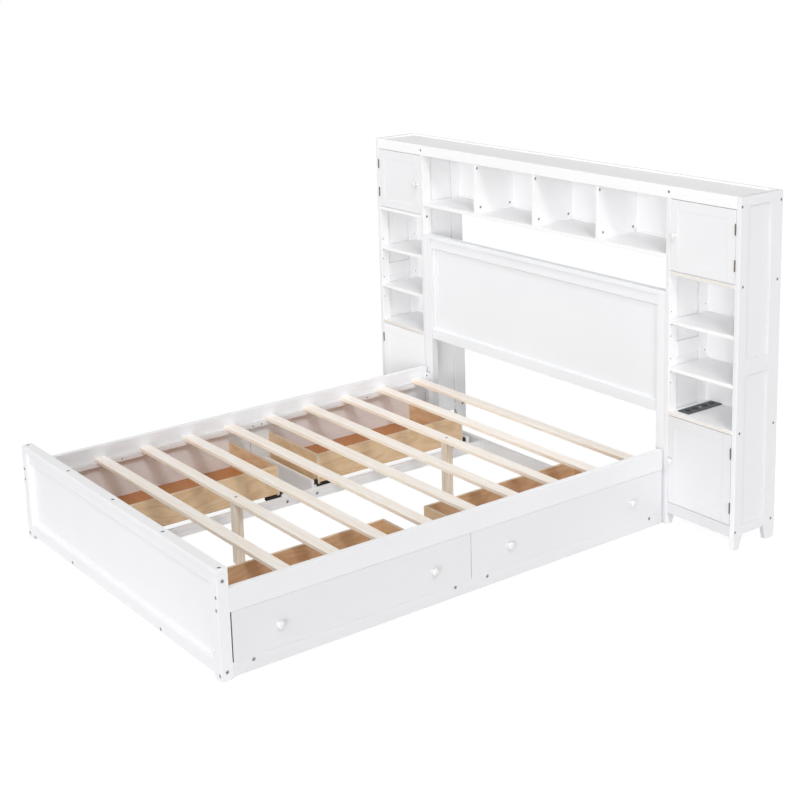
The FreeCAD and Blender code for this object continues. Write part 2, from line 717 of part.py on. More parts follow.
# Doors, each on two hinges at its outer edge
DOORS = {
    "upper": ("upper_shelf_top+door_gap", "apron_bottom-door_gap"),
    "lower": ("kick_top+door_gap", "socket_shelf_bottom-door_gap"),
}
fixed_leaves = []
for side in SIDES:
    for level, (low, high) in DOORS.items():
        tag = "%s_%s" % (level, side)
        near, far = "bay_near+door_gap", "bay_far-hinge_gap"
        depth = ("tower_front", "tower_front+door_thick")
        box("door_rim_" + tag, sided(side, near, far), depth, (low, high))
        inner_x = sided(side, near + "+door_frame_width", far + "-door_frame_width")
        inner_z = (low + "+door_frame_width", high + "-door_frame_width")
        hollow = box("door_hollow_" + tag, inner_x,
                     ("tower_front-cut_over", "tower_front+door_thick+cut_over"), inner_z)
        cut("door_frame_" + tag, PIECES["door_rim_" + tag], [hollow])
        box("door_panel_" + tag, inner_x,
            ("tower_front+door_panel_setback", "tower_front+door_panel_setback+door_panel_thick"), inner_z)
        node("door_" + tag, ["door_frame_" + tag, "door_panel_" + tag])
        knob("knob_" + tag, (signed(side, near + "+door_knob_inset"), "tower_front",
                             "(%s+%s)/2" % (low, high)), "-y")
        node("door_knob_" + tag, ["knob_" + tag])

        door_leaves = []
        for place, start in (("top", high + "-hinge_inset-hinge_height"), ("low", low + "+hinge_inset-door_gap")):
            name = "%s_%s" % (place, tag)
            third = "hinge_height/3"
            plate_y = ("leaf_start", "leaf_start+leaf_depth")
            tab_y = ("hinge_y", "leaf_start")
            full_z = (start, start + "+hinge_height")
            fixed_x = sided(side, "hinge_x+leaf_air/2", "bay_far")
            moving_x = sided(side, "bay_far-hinge_gap", "hinge_x-leaf_air/2")
            axis = (signed(side, "hinge_x"), "hinge_y", start)
            fixed = [box("fixed_plate_" + name, fixed_x, plate_y, full_z),
                     rod("hinge_pin_" + name, "hinge_pin_radius", "hinge_height", axis, "+z")]
            for end, shift in (("a", "0*hinge_height"), ("b", "2*" + third)):
                from_z = start + "+" + shift
                fixed.append(box("fixed_tab_%s_%s" % (end, name), fixed_x, tab_y, (from_z, from_z + "+" + third)))
                fixed.append(rod("fixed_knuckle_%s_%s" % (end, name), "knuckle_radius", third,
                                 shifted(axis, "+z", shift), "+z"))
            joined("fixed_leaf_" + name, fixed)
            fixed_leaves.append("fixed_leaf_" + name)
            from_z = start + "+" + third + "+knuckle_air"
            to_z = start + "+2*" + third + "-knuckle_air"
            moving = joined("moving_blank_" + name, [
                box("moving_plate_" + name, moving_x, plate_y, full_z),
                box("moving_tab_" + name, moving_x, tab_y, (from_z, to_z)),
                rod("moving_knuckle_" + name, "knuckle_radius", third + "-2*knuckle_air",
                    shifted(axis, "+z", third + "+knuckle_air"), "+z")])
            bore = rod("hinge_bore_" + name, "hinge_pin_radius+hinge_pin_air", "hinge_height+2*cut_over",
                       shifted(axis, "+z", "-cut_over"), "+z")
            cut("moving_leaf_" + name, moving, [bore])
            door_leaves.append("moving_leaf_" + name)
        node("door_leaves_" + tag, door_leaves)
node("fixed_hinge_leaves", fixed_leaves)

# Drawers, two on each side
knob_height_share = 0.48
knob_height = "low_rail_top+%s*(rail_bottom-low_rail_top)" % knob_height_share
DRAWERS = {
    "foot": ("foot_back+foot_gap", "bay_middle-drawer_gap/2", "foot_foot", "foot_head"),
    "head": ("bay_middle+drawer_gap/2", "rail_end-drawer_gap", "head_foot", "head_head"),
}
for side in SIDES:
    for row_name, (low, high, low_guide, high_guide) in DRAWERS.items():
        tag = "%s_%s" % (side, row_name)
        box("front_" + tag, sided(side, "box_front_end", "half_bed"), (low, high),
            ("low_rail_top+front_gap", "rail_bottom-front_gap"))
        node("drawer_front_" + tag, ["front_" + tag])
        box_low = GUIDES[low_guide][0] + "+guide_thick/2+box_side_air"
        box_high = GUIDES[high_guide][0] + "-guide_thick/2-box_side_air"
        depth_x = sided(side, "box_back_line", "box_front_end")
        box("box_side_a_" + tag, depth_x, (box_low, box_low + "+box_thick"), ("box_bottom", "box_top"))
        box("box_side_b_" + tag, depth_x, (box_high + "-box_thick", box_high), ("box_bottom", "box_top"))
        inside_y = (box_low + "+box_thick", box_high + "-box_thick")
        box("box_back_" + tag, sided(side, "box_back_line", "box_back_line+box_thick"), inside_y,
            ("low_rail_top+box_back_lift", "box_top"))
        box("box_floor_" + tag, sided(side, "box_back_line+box_thick", "box_front_end"), inside_y,
            ("low_rail_top+box_floor_lift", "low_rail_top+box_floor_lift+box_floor_thick"))
        node("drawer_box_" + tag, [name + tag for name in ("box_side_a_", "box_side_b_", "box_back_", "box_floor_")])
        for end, knob_y in (("a", low + "+drawer_knob_inset"), ("b", high + "-drawer_knob_inset")):
            knob("drawer_knob_%s_%s" % (end, tag), (signed(side, "half_bed"), knob_y, knob_height),
                 outward(side))
        node("drawer_knobs_" + tag, ["drawer_knob_a_" + tag, "drawer_knob_b_" + tag])

        brackets = []
        rollers = []
        for end, wall, way in (("a", box_low, "-y"), ("b", box_high, "+y")):
            name = "%s_%s" % (end, tag)
            bracket_x = sided(side, "box_back_line", "box_back_line+bracket_width")
            outer_wall = shifted(("0", wall, "0"), way, "bracket_plate")[1]
            inner_end = shifted(("0", wall, "0"), way, "bracket_plate-bracket_length")[1]
            plate_y = (outer_wall, wall) if way == "-y" else (wall, outer_wall)
            bar_y = (outer_wall, inner_end) if way == "-y" else (inner_end, outer_wall)
            joined("bracket_" + name, [
                box("bracket_bar_" + name, bracket_x, bar_y, ("box_bottom-bracket_drop", "box_bottom")),
                box("bracket_plate_" + name, bracket_x, plate_y, ("box_bottom-bracket_drop", "box_bottom+bracket_rise")),
                rod("bracket_axle_" + name, "axle_radius", "bracket_plate/2+roller_side_air+roller_width",
                    (signed(side, "roller_line"),
                     shifted(("0", wall, "0"), way, "bracket_plate/2")[1], "roller_height"), way)])
            brackets.append("bracket_" + name)
            wheel_start = (signed(side, "roller_line"),
                           shifted(("0", wall, "0"), way, "bracket_plate+roller_side_air/2")[1], "roller_height")
            wheel = rod("roller_blank_" + name, "roller_radius", "roller_width", wheel_start, way)
            hole = rod("roller_bore_" + name, "axle_radius+running_air", "roller_width+2*cut_over",
                       shifted(wheel_start, way, "-cut_over"), way)
            cut("roller_" + name, wheel, [hole])
            rollers.append("roller_" + name)
        node("roller_brackets_" + tag, brackets)
        node("rollers_" + tag, rollers)

node("bolts", bolts)

# Bores in the boards that bolts, pins and locks go through
for key, tools in BORES.items():
    bored_piece = cut(key + "_bored", PIECES[key], tools)
    PIECES[key] = bored_piece

# Named sub-parts
document.recompute()
PARTS = {}
for name, keys in NODES.items():
    if len(keys) == 1:
        part = PIECES[keys[0]]
    else:
        part = document.addObject("Part::Compound", "group_" + name)
        part.Links = [PIECES[key] for key in keys]
    part.Label = name
    PARTS[name] = part
document.recompute()

for item in document.Objects:
    if "Invalid" in item.State or "Error" in item.State:
        raise RuntimeError("not built: " + item.Label)
for name, part in PARTS.items():
    if part.Shape.isNull() or not part.Shape.isValid():
        raise RuntimeError("bad shape: " + name)
    part.Shape.exportStep("parts/" + name + ".step")
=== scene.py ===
"""The looks of a white storage bed with a bookcase headboard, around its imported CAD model."""

import logging
import math
from dataclasses import dataclass
from enum import Enum
from typing import Callable, Sequence

import bpy
import numpy as np
from mathutils import Matrix, Vector


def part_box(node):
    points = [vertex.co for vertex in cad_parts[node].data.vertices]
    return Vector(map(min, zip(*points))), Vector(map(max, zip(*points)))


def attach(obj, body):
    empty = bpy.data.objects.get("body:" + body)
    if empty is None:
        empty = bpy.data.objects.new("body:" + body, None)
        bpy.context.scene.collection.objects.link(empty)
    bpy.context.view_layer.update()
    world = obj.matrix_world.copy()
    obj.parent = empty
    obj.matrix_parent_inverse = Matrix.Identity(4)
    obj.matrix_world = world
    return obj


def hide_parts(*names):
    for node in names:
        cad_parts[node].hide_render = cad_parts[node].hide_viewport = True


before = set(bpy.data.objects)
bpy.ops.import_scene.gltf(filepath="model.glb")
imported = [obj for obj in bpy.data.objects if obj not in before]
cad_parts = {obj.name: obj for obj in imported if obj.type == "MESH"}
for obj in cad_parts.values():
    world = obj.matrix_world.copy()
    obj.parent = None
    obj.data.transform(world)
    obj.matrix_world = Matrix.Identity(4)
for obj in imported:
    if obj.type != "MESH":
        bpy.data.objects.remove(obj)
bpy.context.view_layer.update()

Piece = bpy.types.Object
Face = bpy.types.MeshPolygon
Tree = bpy.types.NodeTree
Material = bpy.types.Material
FaceTest = Callable[[Face], bool]
PointTest = Callable[[Vector], bool]
Profile = Sequence[tuple[float, float]]
Looks = tuple[bpy.types.Node, bpy.types.Node, dict]

log = logging.getLogger("storage_bed")
ROOT = "bed_frame"
MM = 0.001

# Points no farther apart than this, in metres, are one point.
MERGE = 1e-5

WHITE = (1, 1, 1, 1)
UP = Vector((0, 0, 1))

# How far the edges of thin panels are rounded.
PANEL_EASE = 0.5 * MM

# How far apart two places may be and still count as the same.
SAME_PLACE = 0.1 * MM

# Faces that meet at no more than this many degrees are merged into one.
SAME_PLANE = 1

# How much of a face's normal has to lie along an axis for the face to count as looking that way.
SQUARE = 0.9
NEARLY = 0.8
MOSTLY = 0.7
PARTLY = 0.3


class Axis(Enum):
    """One of the three axes, by its number."""

    X = 0
    Y = 1
    Z = 2


class Side(Enum):
    """The left or the right side of the bed, seen from its foot, with the sign of X there."""

    LEFT = ("left", -1)
    RIGHT = ("right", 1)


class Row(Enum):
    """The drawers nearer the foot or nearer the head."""

    FOOT = "foot"
    HEAD = "head"


class Level(Enum):
    """The upper or the lower cupboard of a tower."""

    UPPER = "upper"
    LOWER = "lower"


# Colours and nodes


def linear(code: str) -> tuple[float, float, float, float]:
    """Turn an sRGB hex colour into a linear one.

    Args:
        code: Six hex digits after a hash sign.

    Returns:
        The linear colour with an alpha of one.
    """
    parts = [int(code[i:i + 2], 16) / 255 for i in (1, 3, 5)]
    return (*[p / 12.92 if p <= 0.04045 else ((p + 0.055) / 1.055) ** 2.4 for p in parts], 1.0)


def fill(tree: Tree, node: bpy.types.Node, inputs: dict) -> bpy.types.Node:
    """Set a node's inputs to values, or link them to sockets or to the first outputs of other nodes.

    Args:
        tree: The node tree.
        node: The node.
        inputs: Values, output sockets or nodes, by the names or numbers of the inputs.

    Returns:
        The node.
    """
    for name, value in inputs.items():
        source = value.outputs[0] if isinstance(value, bpy.types.Node) else value
        if isinstance(source, bpy.types.NodeSocket):
            tree.links.new(source, node.inputs[name])
        else:
            node.inputs[name].default_value = source
    return node


def put(tree: Tree, kind: str, inputs: dict | None = None,
        stops: Sequence[tuple[float, str]] = (), **settings: object) -> bpy.types.Node:
    """Add a node with its settings and links.

    Args:
        tree: The node tree that gets the node.
        kind: The node's type name.
        inputs: Values, output sockets or nodes, by the names or numbers of the inputs.
        stops: The places and colours of a colour ramp's two stops.
        settings: Attributes of the node itself.

    Returns:
        The new node.
    """
    node = tree.nodes.new(kind)
    for name, value in settings.items():
        setattr(node, name, value)
    if stops:
        for element, (place, colour) in zip(node.color_ramp.elements, stops):
            element.position = place
            element.color = linear(colour)
    return fill(tree, node, inputs or {})


def new_material(name: str) -> tuple[Material, Tree, bpy.types.Node]:
    """Start a material that holds only its shader and its output.

    Args:
        name: The material's name.

    Returns:
        The material, its node tree and its shader.
    """
    material = bpy.data.materials.new(name)
    material.use_nodes = True
    tree = material.node_tree
    tree.nodes.clear()
    shader = put(tree, "ShaderNodeBsdfPrincipled")
    put(tree, "ShaderNodeOutputMaterial", {"Surface": shader.outputs["BSDF"]})
    return material, tree, shader


def grain_scale(along: Axis, across: float, length: float) -> list[float]:
    """Give the scale of a pattern that is drawn out along one axis.

    Args:
        along: The axis along which the pattern runs.
        across: The pattern's size across it, in metres.
        length: The pattern's size along it, in metres.

    Returns:
        The scale for a mapping node.
    """
    return [1 / (length if axis is along else across) for axis in Axis]


class Finish:
    """A finish with a dark and a light colour, in a pattern on the object's own coordinates."""

    name: str
    light: str
    dark: str
    roughness: float
    dark_stop: float = 0.35
    light_stop: float = 0.6
    relief: float = 0.0
    relief_depth: float = 0.3 * MM

    def looks(self, tree: Tree, place: bpy.types.NodeSocket) -> Looks:
        """Draw the pattern of one kind of finish.

        Args:
            tree: The material's node tree.
            place: The object's own coordinates.

        Returns:
            The node that mixes the colours, the node that the relief follows, and further inputs
            of the shader.
        """
        raise NotImplementedError

    def make(self) -> Material:
        """Build the material from the fields.

        Returns:
            The material.
        """
        material, tree, shader = new_material(self.name)
        pattern, height, inputs = self.looks(tree, put(tree, "ShaderNodeTexCoord").outputs["Object"])
        colours = put(tree, "ShaderNodeValToRGB", {"Fac": pattern},
                      ((self.dark_stop, self.dark), (self.light_stop, self.light)))
        fill(tree, shader, {"Base Color": colours, "Roughness": self.roughness, **inputs})
        if self.relief:
            bump = put(tree, "ShaderNodeBump",
                       {"Height": height, "Strength": self.relief, "Distance": self.relief_depth})
            fill(tree, shader, {"Normal": bump})
        return material


@dataclass(frozen=True)
class SprayedPaint(Finish):
    """Satin alkyd paint sprayed on pine and fibreboard.

    To the eye it is an even, very slightly cool white with a soft sheen, a faint pebbling of the
    spray and slow drifts of tone along a board.
    """

    name: str = "satin_alkyd_paint_sprayed"
    light: str = "#F2F2F4"
    dark: str = "#F0F0F2"
    roughness: float = 0.42
    light_stop: float = 0.65
    pebble: float = 1.6 * MM
    drift_length: float = 400 * MM
    relief: float = 0.05
    shinier: float = 0.04
    duller: float = 0.05
    refraction: float = 1.48
    drift_detail: float = 3.0
    pebble_detail: float = 2.0

    def looks(self, tree: Tree, place: bpy.types.NodeSocket) -> Looks:
        """Draw slow drifts of tone and sheen, and pebbles.

        Args:
            tree: The material's node tree.
            place: The object's own coordinates.

        Returns:
            What drives the colour and the relief, and further inputs of the shader.
        """
        tone = put(tree, "ShaderNodeTexNoise",
                   {"Vector": place, "Scale": 1 / self.drift_length, "Detail": self.drift_detail})
        pebbles = put(tree, "ShaderNodeTexNoise",
                      {"Vector": place, "Scale": 1 / self.pebble, "Detail": self.pebble_detail})
        sheen = put(tree, "ShaderNodeMapRange", {"Value": tone, "To Min": self.roughness - self.shinier,
                                                 "To Max": self.roughness + self.duller})
        return tone, pebbles, {"Roughness": sheen, "IOR": self.refraction}


@dataclass(frozen=True)
class StreakedCoat(Finish):
    """One brushed coat of white primer on sawn pine, as on boards that are out of sight.

    To the eye it is white with long thin grey streaks, where the grain shows through.
    """

    name: str
    along: Axis
    light: str = "#FCFCFD"
    dark: str = "#F2F2F5"
    dark_stop: float = 0.36
    width: float = 5 * MM
    length: float = 220 * MM
    detail: float = 6.0
    raggedness: float = 0.65
    relief: float = 0.25
    relief_depth: float = 0.4 * MM
    roughness: float = 0.6

    def looks(self, tree: Tree, place: bpy.types.NodeSocket) -> Looks:
        """Draw the streaks, which the relief follows.

        Args:
            tree: The material's node tree.
            place: The object's own coordinates.

        Returns:
            What drives the colour and the relief, and further inputs of the shader.
        """
        stretched = put(tree, "ShaderNodeMapping",
                        {"Vector": place, "Scale": grain_scale(self.along, self.width, self.length)})
        grain = put(tree, "ShaderNodeTexNoise", {"Vector": stretched, "Scale": 1.0, "Detail": self.detail,
                                                 "Roughness": self.raggedness})
        return grain, grain, {}


@dataclass(frozen=True)
class FiguredWood(Finish):
    """Wood that shows its figure: wavy bands and finer streaks. The defaults are those of pine."""

    name: str
    along: Axis
    light: str = "#FFFAF3"
    dark: str = "#F9EAD9"
    band: float = 9 * MM
    band_length: float = 234 * MM
    offset: tuple[float, float, float] = (3.1, 1.7, 0.4)
    density: float = 0.55
    detail: float = 3.0
    waviness: float = 1.1
    folds: float = 9.0
    streak: float = 1.8 * MM
    streak_length: float = 108 * MM
    streak_detail: float = 4.0
    streak_share: float = 0.45
    dark_stop: float = 0.12
    light_stop: float = 0.62
    relief: float = 0.2
    roughness: float = 0.66

    def looks(self, tree: Tree, place: bpy.types.NodeSocket) -> Looks:
        """Draw the bands, and the finer streaks that are mixed into them.

        Args:
            tree: The material's node tree.
            place: The object's own coordinates.

        Returns:
            What drives the colour and the relief, and further inputs of the shader.
        """
        scale = grain_scale(self.along, self.band, self.band_length)
        bands_at = put(tree, "ShaderNodeMapping", {"Vector": place, "Scale": scale, "Location": self.offset})
        bands = put(tree, "ShaderNodeTexNoise", {"Vector": bands_at, "Scale": self.density,
                                                 "Detail": self.detail, "Distortion": self.waviness})
        lines = put(tree, "ShaderNodeMath", {0: bands, 1: self.folds}, operation="MULTIPLY")
        folded = put(tree, "ShaderNodeMath", {0: lines, 1: 1.0}, operation="PINGPONG")
        scale = grain_scale(self.along, self.streak, self.streak_length)
        streaks_at = put(tree, "ShaderNodeMapping", {"Vector": place, "Scale": scale})
        streaks = put(tree, "ShaderNodeTexNoise",
                      {"Vector": streaks_at, "Scale": 1.0, "Detail": self.streak_detail})
        mixed = put(tree, "ShaderNodeMix", {0: self.streak_share, 2: folded, 3: streaks})
        return mixed, streaks, {}


@dataclass(frozen=True)
class Softwood(FiguredWood):
    """Planed or sawn pine with no finish.

    To the eye it is cream with pale brown growth rings that run along the board, finer streaks
    between them and a dull surface.
    """


@dataclass(frozen=True)
class PeeledPlywood(FiguredWood):
    """The peeled face veneer of poplar plywood under clear lacquer, which fills its pores.

    To the eye it is tan, with broad wavy figure where the knife crossed the growth rings, darker
    bands and a slight sheen.
    """

    light: str = "#EDCFA9"
    dark: str = "#DFBB90"
    band: float = 60 * MM
    band_length: float = 60 / 0.22 * MM
    offset: tuple[float, float, float] = (0.3, 5.2, 2.2)
    density: float = 0.8
    detail: float = 2.0
    waviness: float = 0.8
    folds: float = 11.0
    streak: float = 1.5 * MM
    streak_length: float = 70 * MM
    streak_detail: float = 3.0
    streak_share: float = 0.35
    dark_stop: float = 0.1
    light_stop: float = 0.7
    relief: float = 0.0
    roughness: float = 0.5


@dataclass(frozen=True)
class FleckedBoard(Finish):
    """A cut or pressed board whose fibres show as flecks, with no relief of their own."""

    name: str
    light: str
    dark: str
    fleck: float
    detail: float
    roughness: float

    def looks(self, tree: Tree, place: bpy.types.NodeSocket) -> Looks:
        """Draw the flecks.

        Args:
            tree: The material's node tree.
            place: The object's own coordinates.

        Returns:
            What drives the colour and the relief, and further inputs of the shader.
        """
        flecks = put(tree, "ShaderNodeTexNoise",
                     {"Vector": place, "Scale": 1 / self.fleck, "Detail": self.detail})
        return flecks, flecks, {}


@dataclass(frozen=True)
class PlainSolid(Finish):
    """A moulded plastic or plated metal whose colour varies only a little.

    To the eye its grain catches the light as fine points, and its roughness drifts over a few
    centimetres as handling leaves it.
    """

    name: str
    light: str
    dark: str
    roughness: float
    metallic: float = 0.0
    grit: float = 0.8 * MM
    wear: float = 25 * MM
    relief: float = 0.1
    relief_depth: float = 0.1 * MM
    dark_stop: float = 0.3
    light_stop: float = 0.7
    sheen_drift: float = 0.08
    detail: float = 3.0

    def looks(self, tree: Tree, place: bpy.types.NodeSocket) -> Looks:
        """Draw the fine grain and the wear.

        Args:
            tree: The material's node tree.
            place: The object's own coordinates.

        Returns:
            What drives the colour and the relief, and further inputs of the shader.
        """
        grit = put(tree, "ShaderNodeTexNoise",
                   {"Vector": place, "Scale": 1 / self.grit, "Detail": self.detail})
        worn = put(tree, "ShaderNodeTexNoise", {"Vector": place, "Scale": 1 / self.wear})
        sheen = put(tree, "ShaderNodeMapRange", {"Value": worn, "To Min": self.roughness - self.sheen_drift,
                                                 "To Max": self.roughness + self.sheen_drift})
        return grit, grit, {"Roughness": sheen, "Metallic": self.metallic}


class Palette:
    """Every finish of the bed, made once."""

    def __init__(self) -> None:
        """Make the materials."""
        # One real white paint, this first one; the paints after it are the same paint made only lighter or
        # darker: the lighter ones are painted light, the darker ones painted shade.
        self.paint = SprayedPaint().make()
        # A brighter copy of the paint: painted light on tops, shelves, compartments and faces that sit in
        # shade.
        self.paint_painted_light = SprayedPaint("satin_alkyd_paint_painted_light", "#FDFDFE", "#FCFCFD", 0.5).make()
        # A brighter, cooler copy of the paint for the headboard: painted light.
        self.paint_headboard_painted_light = SprayedPaint("satin_alkyd_paint_headboard_painted_light", "#F6F8FB", "#F4F6F9").make()
        # A darker copy of the paint for the footboard: painted shade.
        self.paint_footboard_painted_shade = SprayedPaint("satin_alkyd_paint_footboard_painted_shade", "#F0F0F2", "#EEEEF0").make()
        # A darker copy of the paint for the upper side rails and the towers' side frames: painted shade.
        self.paint_sides_painted_shade = SprayedPaint("satin_alkyd_paint_sides_painted_shade", "#ECECEE", "#EAEAEC").make()
        # A darker copy of the paint for the drawer fronts, the lower rails and the headboard's narrow sides:
        # painted shade.
        self.paint_grey_painted_shade = SprayedPaint("satin_alkyd_paint_grey_painted_shade", "#E6E6E8", "#E4E4E6").make()
        # A darker copy of the paint for the right lower door: painted shade.
        self.paint_lower_door_painted_shade = SprayedPaint("satin_alkyd_paint_on_fibreboard", "#E8E8EA", "#E6E6E8").make()
        # The darkest copy of the paint, for the kicks and the rear stiles' forward faces: painted shade.
        self.paint_darkest_painted_shade = SprayedPaint("satin_alkyd_paint_darkest_painted_shade", "#E0E0E2", "#DEDEE0").make()
        self.shelf_edge = SprayedPaint("thin_paint_on_sawn_edge", "#F1EDE8", "#EAE4DC", 0.55).make()
        self.knob = SprayedPaint("gloss_lacquer_dipped", "#EAEAE9", "#E6E6E4", 0.28).make()
        self.coat = {axis: StreakedCoat("brushed_primer_" + axis.name.lower(), axis).make()
                     for axis in Axis}
        # Thin streaky primer made brighter and bluer than the paint: painted light on inner faces in shade,
        # cancelling the warm light bounced off the wood.
        self.inner_coat_painted_light = StreakedCoat("thin_primer_inner_painted_light", Axis.Y, "#F8FBFF", "#F2F5FA").make()
        # A greyer primer for the cleats' tops: painted shade.
        self.cleat_top_painted_shade = StreakedCoat("thin_primer_cleat_top_painted_shade", Axis.Y, "#D9D4D0", "#CDC7C2").make()
        self.pine_face = Softwood("planed_pine_x", Axis.X).make()
        self.pine_side = Softwood("sawn_pine_x", Axis.X, "#FFF6E9", "#F7E4CC").make()
        self.pine_leg = Softwood("planed_pine_z", Axis.Z, "#F8EEE0", "#E6CFB2").make()
        self.plywood = {axis: PeeledPlywood("lacquered_plywood_" + axis.name.lower(), axis).make()
                        for axis in Axis}
        # The sawn edge of plywood: a pale line with short brown flecks, where the plies end.
        self.ply_edge = FleckedBoard("plywood_edge_sawn", "#EFE0CC", "#D8BE9E", 2 * MM, 3.0, 0.7).make()
        # Tempered hardboard, pressed from wood fibre: warm red-brown, finely flecked, slightly shiny.
        self.hardboard = FleckedBoard("tempered_hardboard_pressed", "#C98A52", "#A9683A", 3 * MM, 5.0,
                                      0.45).make()
        # The sawn end of fibreboard, left bare where the drawer's front meets the post and inside the shelf
        # pin holes: grey-brown, dull. At the drawer front it also darkens the gap beside the post as painted
        # shade.
        self.bare_end_and_gap_shade = PlainSolid("bare_fibreboard_and_gap_shade", "#9A8B76", "#7F715F", 0.8, 0.0, 1.5 * MM).make()
        # Glass-filled nylon, injection moulded: near black, with a dull grain.
        self.nylon = PlainSolid("black_nylon_moulded", "#202124", "#17181A", 0.5).make()
        # Mild steel, zinc plated and passivated dark: grey with soft broken shine.
        self.steel = PlainSolid("zinc_plated_steel", "#B4B6B9", "#9A9CA0", 0.45, 0.4).make()
        # Darker steel: painted shade inside the bolts' hexagon sockets, and the colour of the cleat screws'
        # heads.
        self.socket = PlainSolid("dark_steel_and_socket_shade", "#4C4D50", "#38393C", 0.6, 0.3).make()
        # Steel rolled and plated in antique brass: brown-grey with a warm shine.
        self.hinge = PlainSolid("antique_brass_plated_steel", "#8C8176", "#6F665C", 0.4, 0.5).make()
        # Flame-resistant ABS, injection moulded: dark grey, satin.
        self.abs = PlainSolid("grey_abs_moulded", "#4E5155", "#44474B", 0.45).make()
        self.abs_dark = PlainSolid("grey_abs_recess", "#35373A", "#2C2E31", 0.6).make()
        self.abs_pale = PlainSolid("pale_abs_moulded", "#B9BBBE", "#ABADB0", 0.5).make()


# Places of the CAD solids


@dataclass(frozen=True)
class Span:
    """The box that one solid fills, in metres, with the solid's own points."""

    low: Vector
    high: Vector
    points: np.ndarray | None = None

    @property
    def centre(self) -> Vector:
        """The middle of the box."""
        return (self.low + self.high) / 2

    @property
    def size(self) -> Vector:
        """The lengths of the box's sides."""
        return self.high - self.low

    def longest(self) -> Axis:
        """The axis along which the box is longest."""
        return Axis(max(range(3), key=lambda i: self.size[i]))

    def meets(self, other: "Span") -> bool:
        """Whether two boxes share some space."""
        return all(self.low[i] < other.high[i] - MERGE and other.low[i] < self.high[i] - MERGE
                   for i in range(3))

    def grown(self, below: Sequence[float], above: Sequence[float]) -> "Span":
        """Give the box moved outwards by one amount at its low corner and another at its high one."""
        return Span(self.low - Vector(below), self.high + Vector(above))


def solids_of(node: str) -> list[Span]:
    """Find the separate solids of a CAD node.

    Args:
        node: The name of the node.

    Returns:
        One span for each solid, in order of X, then Y, then Z.
    """
    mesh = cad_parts[node].data
    points = np.empty(len(mesh.vertices) * 3)
    mesh.vertices.foreach_get("co", points)
    points = points.reshape(-1, 3)
    corners = np.empty(len(mesh.loops), np.int64)
    mesh.loops.foreach_get("vertex_index", corners)
    faces = corners.reshape(-1, 3)
    _, merged = np.unique(np.round(points / MERGE).astype(np.int64), axis=0, return_inverse=True)
    merged = merged.reshape(-1)[faces]
    edges = np.sort(np.stack([merged, np.roll(merged, -1, axis=1)], axis=2), axis=2).reshape(-1, 2)
    _, edge = np.unique(edges, axis=0, return_inverse=True)
    edge = edge.reshape(-1, 3)
    label = np.arange(len(faces))
    while True:
        lowest = np.full(edge.max() + 1, len(faces))
        np.minimum.at(lowest, edge, label[:, None])
        better = np.minimum(label, lowest[edge].min(axis=1))
        if (better == label).all():
            break
        label = better
    spans = []
    for number in np.unique(label):
        own = points[np.unique(faces[label == number])]
        spans.append(Span(Vector(own.min(0)), Vector(own.max(0)), own))
    return sorted(spans, key=lambda span: [round(v, 4) for v in span.centre])


# Modelling, as by hand


def only(*pieces: Piece) -> Piece:
    """Select these pieces alone and make the first one active.

    Args:
        pieces: The pieces.

    Returns:
        The first of them.
    """
    bpy.ops.object.select_all(action="DESELECT")
    for piece in pieces:
        piece.select_set(True)
    bpy.context.view_layer.objects.active = pieces[0]
    return pieces[0]


def named(piece: Piece, name: str) -> Piece:
    """Name a piece and its mesh.

    Args:
        piece: The piece.
        name: Its new name.

    Returns:
        The piece.
    """
    piece.name = name
    piece.data.name = name
    return piece


def settle(piece: Piece, name: str) -> Piece:
    """Put a piece's place, turn and size into its mesh and name it.

    Args:
        piece: The piece.
        name: Its new name.

    Returns:
        The piece.
    """
    only(piece)
    bpy.ops.object.transform_apply(location=True, rotation=True, scale=True)
    return named(piece, name)


def add(name: str, operator: Callable[..., object], **settings: object) -> Piece:
    """Add a primitive, with nothing else selected, and settle it.

    Args:
        name: The new piece's name.
        operator: The operator that adds the primitive.
        settings: What the operator is given.

    Returns:
        The new piece, with its place in its mesh.
    """
    bpy.ops.object.select_all(action="DESELECT")
    operator(**settings)
    return settle(bpy.context.active_object, name)


def discard(piece: Piece) -> None:
    """Delete a cutter or a model that was only copied from."""
    only(piece)
    bpy.ops.object.delete()


def done() -> None:
    """Leave edit mode."""
    bpy.ops.object.mode_set(mode="OBJECT")


def pick(piece: Piece, wanted: FaceTest) -> None:
    """Enter edit mode with the wanted faces selected.

    Args:
        piece: The piece.
        wanted: Says whether a face is wanted.
    """
    only(piece)
    bpy.ops.object.mode_set(mode="EDIT")
    bpy.ops.mesh.select_mode(type="FACE")
    bpy.ops.mesh.select_all(action="DESELECT")
    done()
    for face in piece.data.polygons:
        face.select = wanted(face)
    bpy.ops.object.mode_set(mode="EDIT")


def pick_edges(piece: Piece, wanted: PointTest) -> None:
    """Enter edit mode with the edges selected whose two ends both pass a test.

    Args:
        piece: The piece.
        wanted: Says whether a point is wanted.
    """
    only(piece)
    bpy.ops.object.mode_set(mode="EDIT")
    bpy.ops.mesh.select_mode(type="EDGE")
    bpy.ops.mesh.select_all(action="DESELECT")
    done()
    for edge in piece.data.edges:
        edge.select = all(wanted(piece.data.vertices[i].co) for i in edge.vertices)
    bpy.ops.object.mode_set(mode="EDIT")


def modify(piece: Piece, kind: str, **settings: object) -> Piece:
    """Add a modifier with its settings and apply it.

    Args:
        piece: The piece.
        kind: The modifier's type.
        settings: The modifier's settings.

    Returns:
        The piece.
    """
    only(piece)
    modifier = piece.modifiers.new(kind.title(), kind)
    for name, value in settings.items():
        setattr(modifier, name, value)
    bpy.ops.object.modifier_apply(modifier=modifier.name)
    return piece


